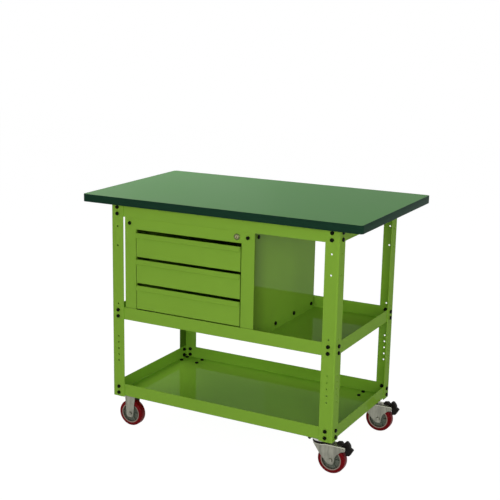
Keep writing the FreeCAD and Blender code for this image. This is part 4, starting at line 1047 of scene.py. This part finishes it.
class WORKTABLE_OT_cabinet(Maker, bpy.types.Operator):
    """Make the cabinet's sheets, brackets and rails"""

    bl_idname = "worktable.cabinet"
    bl_label = "Cabinet"

    def execute(self, context):
        folded("cabinet_front_frame", "front_paint", ease=0.8)
        for node in ("cabinet_left_side", "cabinet_right_side", "cabinet_back"):
            folded(node, "glossy_paint")
        for node in ("cabinet_brackets", "cabinet_rails", "lock_bar_guides"):
            folded(node, "zinc_steel", ease=0.2)
        return {"FINISHED"}


class WORKTABLE_OT_drawers(Maker, bpy.types.Operator):
    """Make the drawers with their folded pulls"""

    bl_idname = "worktable.drawers"
    bl_label = "Drawers"

    def execute(self, context):
        for drawer in DRAWERS:
            body = "drawer_" + drawer
            folded(body + "_front", "drawer_paint", body, 0.25)
            folded(body + "_box", body=body, ease=0.25)
            folded(body + "_runners", "zinc_steel", body, 0.2)
        return {"FINISHED"}


class WORKTABLE_OT_lock(Maker, bpy.types.Operator):
    """Make the key lock, its cam and its bar"""

    bl_idname = "worktable.lock"
    bl_label = "Lock"

    def execute(self, context):
        low, high = box_mm("lock_plug")
        x, z = (low.x + high.x) / 2, (low.z + high.z) / 2
        face = box_mm("cabinet_front_frame")[0].y
        barrel_end = box_mm("lock_body")[1].y
        head = face - 3
        profile = [
            (head + 1.6, 6.55), (head + 1.5, 7.6), (head + 0.1, 8.3), (head, 9.4),
            (head + 0.35, 10.5), (head + 1.0, 11.5), (head + 1.9, 12.0), (face, 12.0),
            (face, 9.5), (barrel_end, 9.5), (barrel_end, 6.55),
        ]
        case = Form().turned(profile, (x, 0, z))
        nut = rounded(circle(x, z, 15, 6), 0.8, 2)
        case.plate(nut, 4, elevation(face + 2), [circle(x, z, 9.6)])
        make("lock_case", case, "lock_case", "frame", "lock_body")
        key_slot = rounded(
            [(x - 1.6, z - 5.4), (x + 1.6, z - 5.4), (x + 1.6, z + 2), (x - 1.6, z + 2)], 0.4, 3
        )
        plug = Form().plate(circle(x, z, 6.5), 6, elevation(low.y), [key_slot])
        core = [(low.y + 6, 0), (low.y + 6, 6.5), (high.y, 6.5), (high.y, 0)]
        plug.turned(core, (x, 0, z), steps=48)
        make("lock_keyway", plug, "lock_nickel", "lock_plug", "lock_plug", 0.25)
        folded("lock_cam", "zinc_steel", "lock_plug", 0.2)
        folded("lock_bar", "zinc_steel", "lock_bar", 0.2)
        return {"FINISHED"}


class WORKTABLE_OT_fasteners(Maker, bpy.types.Operator):
    """Make the bolts, nuts and screws of the table"""

    bl_idname = "worktable.fasteners"
    bl_label = "Fasteners"

    def execute(self, context):
        bolt = bolt_tree()
        black = fastener_inputs("black_steel")
        tall = fastener_inputs("black_steel", 11, Height=sizes().nut_height / MM)
        pan = fastener_inputs("zinc_steel", 5, Flats=9.0, Height=2.5, Radius=2.0, Length=24.0)
        cabinet = [(place, aim) for place, aim, grip in cabinet_bolt_points()]
        for name, tree, places, inputs, material, node in (
            ("frame_bolts_hex", bolt, frame_bolt_points(), black, "black_steel", "frame_bolts"),
            ("caster_bolts_hex", bolt, caster_bolt_points(), black, "black_steel", "caster_bolts"),
            ("cabinet_bolts_hex", bolt, cabinet, black, "black_steel", "cabinet_bolts"),
            ("nuts_hex", nut_tree(), nut_points(), tall, "black_steel", "hex_nuts"),
            ("top_screws_pan", screw_tree(), screw_points(), pan, "zinc_steel", "tabletop_screws"),
        ):
            dress(repeat(name, tree, places, inputs), material, "frame", [node])
        return {"FINISHED"}


class WORKTABLE_OT_fixed_casters(Maker, bpy.types.Operator):
    """Make the forks and axles of the two fixed casters"""

    bl_idname = "worktable.fixed_casters"
    bl_label = "Fixed casters"

    def execute(self, context):
        half = 22.5
        side = [
            (half, PLATE_LOW, 2), (half, 118, 14), (16.6, AXLE_Z + 6, 30),
            (15, AXLE_Z - 15.8, 14.6),
        ]
        for corner in FIXED:
            x, y = caster_middle(corner)
            line = [(x - u, z, r) for u, z, r in side] + [(x + u, z, r) for u, z, r in side[::-1]]
            form = legs(caster_plate(x, y), rounded(line, 2, 8), x, y)
            form.plate(rectangle(x, y, half, FORK_INNER), 3, plan(PLATE_LOW - 3))
            make("fixed_fork_" + corner, form, "caster_zinc", "frame", "rigid_fork_" + corner,
                 0.7, 3)
        axles = [caster_middle(corner) for corner in FIXED]
        axle_set("fixed_caster_axles", axles, "frame", "rigid_caster_axles")
        return {"FINISHED"}


class WORKTABLE_OT_swivel_casters(Maker, bpy.types.Operator):
    """Make plates, seals, kingpins, yokes and axles of the two swivel casters"""

    bl_idname = "worktable.swivel_casters"
    bl_label = "Swivel casters"

    def execute(self, context):
        seals, bright_rings, pins = Form(), Form(), Form()
        low, high = CROWN_TOP + 0.3, PLATE_LOW
        band, head = high - 8, CROWN_TOP - 7.3
        race = [
            (low, 22), (low, 28.6), (low + 1.2, 29.8), (high - 2, 30), (high, 30.0), (high, 22),
        ]
        seal = [
            (low, 30.1), (low, 31.6), (low + 0.8, 32.6), (low + 2.4, 33.0), (band - 0.6, 33.0),
            (band, 32.4), (band, 30.1),
        ]
        # The seal's upper part is drawn as a bright zinc ring: a painted highlight along the top
        # of the seal
        bright_ring = [
            (band, 30.1), (band, 32.2), (band + 0.6, 32.8), (high - 1.2, 32.8), (high, 31.6),
            (high, 30.1),
        ]
        kingpin = [
            (head, 0), (head, 7.5), (head + 0.5, 9.6), (head + 1.5, 10.8), (head + 2.6, 11.0),
            (head + 3, 10.8), (head + 3, KINGPIN_RADIUS), (PLATE_HIGH - 0.5, KINGPIN_RADIUS),
            (PLATE_HIGH, 5.4), (PLATE_HIGH, 0),
        ]
        for corner in SWIVELLING:
            x, y = caster_middle(corner)
            plate = caster_plate(x, y, KINGPIN_RADIUS).turned(race, (x, y, 0), "Z")
            make("swivel_top_" + corner, plate, "caster_zinc", "frame", "swivel_plate_" + corner,
                 0.6)
            seals.turned(seal, (x, y, 0), "Z")
            bright_rings.turned(bright_ring, (x, y, 0), "Z")
            pins.turned(kingpin, (x, y, 0), "Z", 48)
            self.yoke(corner, x, y)
        make("swivel_seals", seals, "black_plastic", "frame", "swivel_dust_seals")
        make("swivel_bands", bright_rings, "zinc_steel", "frame", "swivel_dust_seals")
        make("swivel_kingpins", pins, "caster_zinc", "frame", "kingpins")
        return {"FINISHED"}

    def yoke(self, corner, x, y):
        """Swivelling fork with raked legs and the arms that carry the pedal."""
        axle_x, pivot_x = x + AXLE_TRAIL, x + PEDAL_X
        top, under = CROWN_TOP, CROWN_TOP - 4
        line = [
            (x - 25.5, top, 1.5), (pivot_x - 16, top, 4), (pivot_x - 9, 111.4, 5),
            (pivot_x + 6.5, 111.4, 7.5), (pivot_x + 8.4, 103, 7), (pivot_x + 4, 94.8, 7),
            (pivot_x - 9, 91.6, 12), (x + 76, 84.5, 14), (x + 68, 77.6, 14),
            (x + 60.5, 67, 20), (x + 58.2, AXLE_Z, 16), (axle_x + 12, AXLE_Z - 15.6, 13),
            (axle_x - 10, AXLE_Z - 15.8, 13), (axle_x - 22.2, AXLE_Z - 3.4, 14),
            (x, 71.7, 30), (x - 24.5, under, 5),
        ]
        pivot = circle(pivot_x, PEDAL_Z, PEDAL_BORE, 24)
        form = legs(Form(), rounded(line, 2, 8), axle_x, y, [pivot])
        crown = [
            (under, KINGPIN_BORE), (under, 29.0), (under + 1, 30), (top - 1.4, 30),
            (top - 0.4, 29.6), (top, 28.6), (top, KINGPIN_BORE),
        ]
        form.turned(crown, (x, y, 0), "Z")
        bridge = [
            (x, y - FORK_INNER), (pivot_x - 12.5, y - FORK_INNER, 4),
            (pivot_x - 12.5, y + FORK_INNER, 4), (x, y + FORK_INNER),
        ]
        bore = circle(x, y, KINGPIN_BORE, 32)
        form.plate(rounded(bridge, 0, 4), top - under, plan(under), [bore])
        body = "swivel_" + corner
        make("yoke_pressed_" + corner, form, "yoke_zinc", body, "yoke_" + corner, 0.7, 3)
        axle_set("yoke_axle_" + corner, [(axle_x, y)], body, "yoke_pins_" + corner,
                 [(pivot_x, y, PEDAL_Z, PEDAL_PIN)])


class WORKTABLE_OT_pedals(Maker, bpy.types.Operator):
    """Make the two moulded brake pedals"""

    bl_idname = "worktable.pedals"
    bl_label = "Brake pedals"

    def execute(self, context):
        ribs = rib_tree()
        pz, half = PEDAL_Z, 17.5
        shape = [
            (-31, 9.5, 1.5), (-31, 17, 2), (-28, 19.5, 3), (-15, 22, 5), (-12, 20.5, 3),
            (-6, 15, 2), (-4, 15, 1), (2, 26, 2), (9, 26, 3), (17, 17, 8), (20, 11, 8),
            (21, 3, 2), (26, 1, 2), (29, -1, 2), (31, -5, 2), (28, -9, 2), (19, -25, 4),
            (5, -27, 3), (2, -8, 1), (-8, 0, 1), (-8, 8, 1), (-13, 9.5, 1),
        ]
        barrel = [
            (-half, PEDAL_BORE), (-half, 7.6), (0.5 - half, 8), (half - 0.5, 8), (half, 7.6),
            (half, PEDAL_BORE),
        ]
        for corner in SWIVELLING:
            x, y = caster_middle(corner)
            px = x + PEDAL_X
            line = rounded([(px + u, pz + v, r) for u, v, r in shape], 1, 5)
            form = Form().plate(line, 2 * FIN_HALF, elevation(y - FIN_HALF))
            form.turned(barrel, (px, y, pz), steps=40)
            pivot, shoe = Vector((px, pz)), Vector(shoe_middle(x + AXLE_TRAIL, px))
            form.turned(pin(half, SHOE_RADIUS), (shoe.x, y, shoe.y), steps=28)
            across = (shoe - pivot).normalized().orthogonal() * SHOE_RADIUS
            neck = [pivot + across, shoe + across, shoe - across, pivot - across]
            form.plate(neck, 2 * half, elevation(y - half))
            made = form.to_object("pedal_moulding_" + corner)
            ease_edges(made, 0.8, 3, 50)
            start, stop = Vector((px + 22.6, pz + 2.4)), Vector((px + 28.4, pz - 0.6))
            rise = (stop - start).normalized().orthogonal()
            spots = [start.lerp(stop, k / 2) for k in range(3)]
            grip = [((spot.x, y, spot.y), (rise.x, 0, rise.y)) for spot in spots]
            bars = repeat("grip", ribs, grip, rib_inputs("black_plastic", *GRIP_RIB))
            join_meshes(made, [bars])
            dress(made, "black_plastic", "pedal_" + corner, ["brake_pedal_" + corner])
        return {"FINISHED"}


class WORKTABLE_OT_wheels(Maker, bpy.types.Operator):
    """Make the treads and ribbed hubs of the four wheels"""

    bl_idname = "worktable.wheels"
    bl_label = "Wheels"

    def execute(self, context):
        ribs = rib_tree()
        count, facets = sizes().ribs, 96
        wall = [
            (16.0, 39.5), (16.0, 41.0), (15.8, 42.0), (15.8, 46.5), (15.4, 48.6), (14.4, 50.3),
            (13.0, 51.6), (11.0, 52.3), (8.5, WHEEL_RADIUS), (0.25, WHEEL_RADIUS),
        ]
        tread = wall + mirrored(wall)
        half = [
            (17.0, SLEEVE_BORE), (17.0, 12.6), (16.4, 13.6), (15.4, 14.0), (7.5, 14.6),
            (5.2, 16.2), (4.5, 18.5), (4.5, 31.0), (5.4, 33.4), (8.0, 34.4), (12.0, 34.8),
            (12.0, 39.4),
        ]
        web = half + mirrored(half)
        ring = [
            (12.0, 34.8), (15.0, 35.0), (15.8, 35.5), (16.0, 36.3), (16.0, 39.4), (12.0, 39.4),
        ]
        for corner in CORNERS:
            centre = tuple(middle_mm("wheel_tread_" + corner))
            body, node = "wheel_" + corner, "wheel_hub_" + corner
            cast = Form().turned(tread, centre, "Y", facets)
            make("tread_cast_" + corner, cast, "tread_red", body, "wheel_tread_" + corner)
            hub = Form().turned(web, centre, "Y", facets).to_object("hub_cast_" + corner)
            points = []
            for k in range(count):
                angle = 2 * math.pi * k / count
                out = Vector((math.cos(angle), 0, math.sin(angle)))
                for side in (-1, 1):
                    aside = Vector((0, side * HUB_RIB_SIDE, 0))
                    spot = Vector(centre) + out * HUB_RIB_RADIUS + aside
                    points.append((tuple(spot), tuple(out)))
            bars = repeat("ribs", ribs, points, rib_inputs("hub_grey", *HUB_RIB))
            join_meshes(hub, [bars])
            dress(hub, "hub_grey", body, [node])
            rims = Form().turned(ring, centre, "Y", facets)
            rims.turned(mirrored(ring), centre, "Y", facets)
            make("hub_rims_" + corner, rims, "hub_rim", body, node)
        return {"FINISHED"}


# Stage

# Name, place, aim, size in metres and power in watts of each light
LIGHTS = (
    ("front_softbox", (1.85, -4.3, 1.7), (0, -0.1, 0.5), (3.4, 2.4), 73),
    ("left_softbox", (-3.6, -1.6, 2.6), (0, 0, 0.5), (2.4, 2.4), 13),
    ("right_softbox", (3.4, -0.5, 1.3), (0.3, 0, 0.5), (1.8, 1.6), 10),
    ("back_softbox", (-2.35, 2.75, 1.75), (-0.5, 0.1, 0.93), (1.9, 1.2), 2.4),
    ("top_softbox", (-1.7, 0.8, 2.3), (-0.3, 0, 0.93), (1.4, 1.4), 14),
)

# The photograph's camera: width, focal length and optical centre in pixels, turns in degrees
PICTURE = 500
FOCAL = 1090.503
OPTICAL_CENTRE = (177.18, 261.38)
CAMERA_PLACE = (1.8901, -3.6998, 1.6764)
YAW, PITCH, ROLL = 31.2497, -13.6728, 0.1875


def area_light(name, place, aim, size, power):
    data = bpy.data.lights.new(name, "AREA")
    data.shape = "RECTANGLE"
    data.size, data.size_y = size
    data.energy = power
    light = new_object(name, data)
    light.location = place
    light.rotation_euler = (Vector(aim) - Vector(place)).to_track_quat("-Z", "Y").to_euler()


def white_where_seen(graph):
    """1 for camera, glossy and transmission rays, and 0 for diffuse ones."""
    path = graph.node("ShaderNodeLightPath")
    total = Field(graph, path.outputs["Is Camera Ray"]) + path.outputs["Is Glossy Ray"]
    return (total + path.outputs["Is Transmission Ray"]).above(0.5, 0.2)


class WORKTABLE_OT_stage(Maker, bpy.types.Operator):
    """Make the floor, the world, the lights and the camera"""

    bl_idname = "worktable.stage"
    bl_label = "Stage"

    def execute(self, context):
        scene = context.scene
        scene.view_settings.view_transform = "Standard"
        self.floor()
        world = bpy.data.worlds.new("studio")
        world.use_nodes = True
        graph = Graph(world.node_tree)
        level = white_where_seen(graph) * (1 - AMBIENT) + AMBIENT
        sky = graph.field("ShaderNodeBackground", {"Color": (1, 1, 1, 1), "Strength": level})
        graph.node("ShaderNodeOutputWorld", {"Surface": sky})
        scene.world = world
        for light in LIGHTS:
            area_light(*light)
        self.camera(scene)
        return {"FINISHED"}

    def floor(self):
        """A pale floor that looks white and still takes the table's shadow."""
        form = Form().plate([(-9e3, -9e3), (9e3, -9e3), (9e3, 9e3), (-9e3, 9e3)], 10, plan(-10))
        floor = form.to_object("studio_floor")
        paper = bpy.data.materials.new("studio_floor")
        paper.use_nodes = True
        graph = Graph(paper.node_tree)
        seen = white_where_seen(graph) * 0.85
        card = graph.field("ShaderNodeBsdfDiffuse", {"Color": (0.8, 0.8, 0.8, 1)})
        glow = graph.field("ShaderNodeEmission", {"Color": (1, 1, 1, 1), "Strength": 1.15})
        mixed = graph.field("ShaderNodeMixShader", {0: seen, 1: card, 2: glow})
        graph.node("ShaderNodeOutputMaterial", {"Surface": mixed})
        floor.data.materials.append(paper)

    def camera(self, scene):
        """The photograph's view."""
        data = bpy.data.cameras.new("camera")
        data.sensor_fit = "HORIZONTAL"
        data.sensor_width = 36.0
        data.lens = FOCAL / PICTURE * 36.0
        data.shift_x = (PICTURE / 2 - OPTICAL_CENTRE[0]) / PICTURE
        data.shift_y = (OPTICAL_CENTRE[1] - PICTURE / 2) / PICTURE
        scene.camera = new_object("camera", data)
        pose = Matrix.Translation(CAMERA_PLACE)
        for angle, axis in ((YAW, "Z"), (90 + PITCH, "X"), (ROLL, "Z")):
            pose = pose @ Matrix.Rotation(math.radians(angle), 4, axis)
        scene.camera.matrix_world = pose


class WORKTABLE_PT_panel(bpy.types.Panel):
    """The sizes, colours and makers of the work table"""

    bl_idname = "WORKTABLE_PT_panel"
    bl_label = "Work table"
    bl_space_type = "VIEW_3D"
    bl_region_type = "UI"
    bl_category = "Work table"

    def draw(self, context):
        column = self.layout.column()
        for group in (sizes(), colours()):
            for name in group.bl_rna.properties.keys():
                if name not in ("rna_type", "name"):
                    column.prop(group, name)
        for maker in MAKERS:
            column.operator(maker.bl_idname)


MAKERS = (
    WORKTABLE_OT_finishes, WORKTABLE_OT_tabletop, WORKTABLE_OT_frame, WORKTABLE_OT_cabinet,
    WORKTABLE_OT_drawers, WORKTABLE_OT_lock, WORKTABLE_OT_fasteners, WORKTABLE_OT_fixed_casters,
    WORKTABLE_OT_swivel_casters, WORKTABLE_OT_pedals, WORKTABLE_OT_wheels, WORKTABLE_OT_stage,
)
CLASSES = (TableSizes, TableColours, *MAKERS, WORKTABLE_PT_panel)


def register():
    for kind in CLASSES:
        bpy.utils.register_class(kind)
    bpy.types.Scene.work_table_sizes = bpy.props.PointerProperty(type=TableSizes)
    bpy.types.Scene.work_table_colours = bpy.props.PointerProperty(type=TableColours)


def unregister():
    del bpy.types.Scene.work_table_sizes
    del bpy.types.Scene.work_table_colours
    for kind in reversed(CLASSES):
        bpy.utils.unregister_class(kind)


def main():
    register()
    for maker in MAKERS:
        group, name = maker.bl_idname.split(".")
        getattr(getattr(bpy.ops, group), name)()


if __name__ == "__main__":
    main()
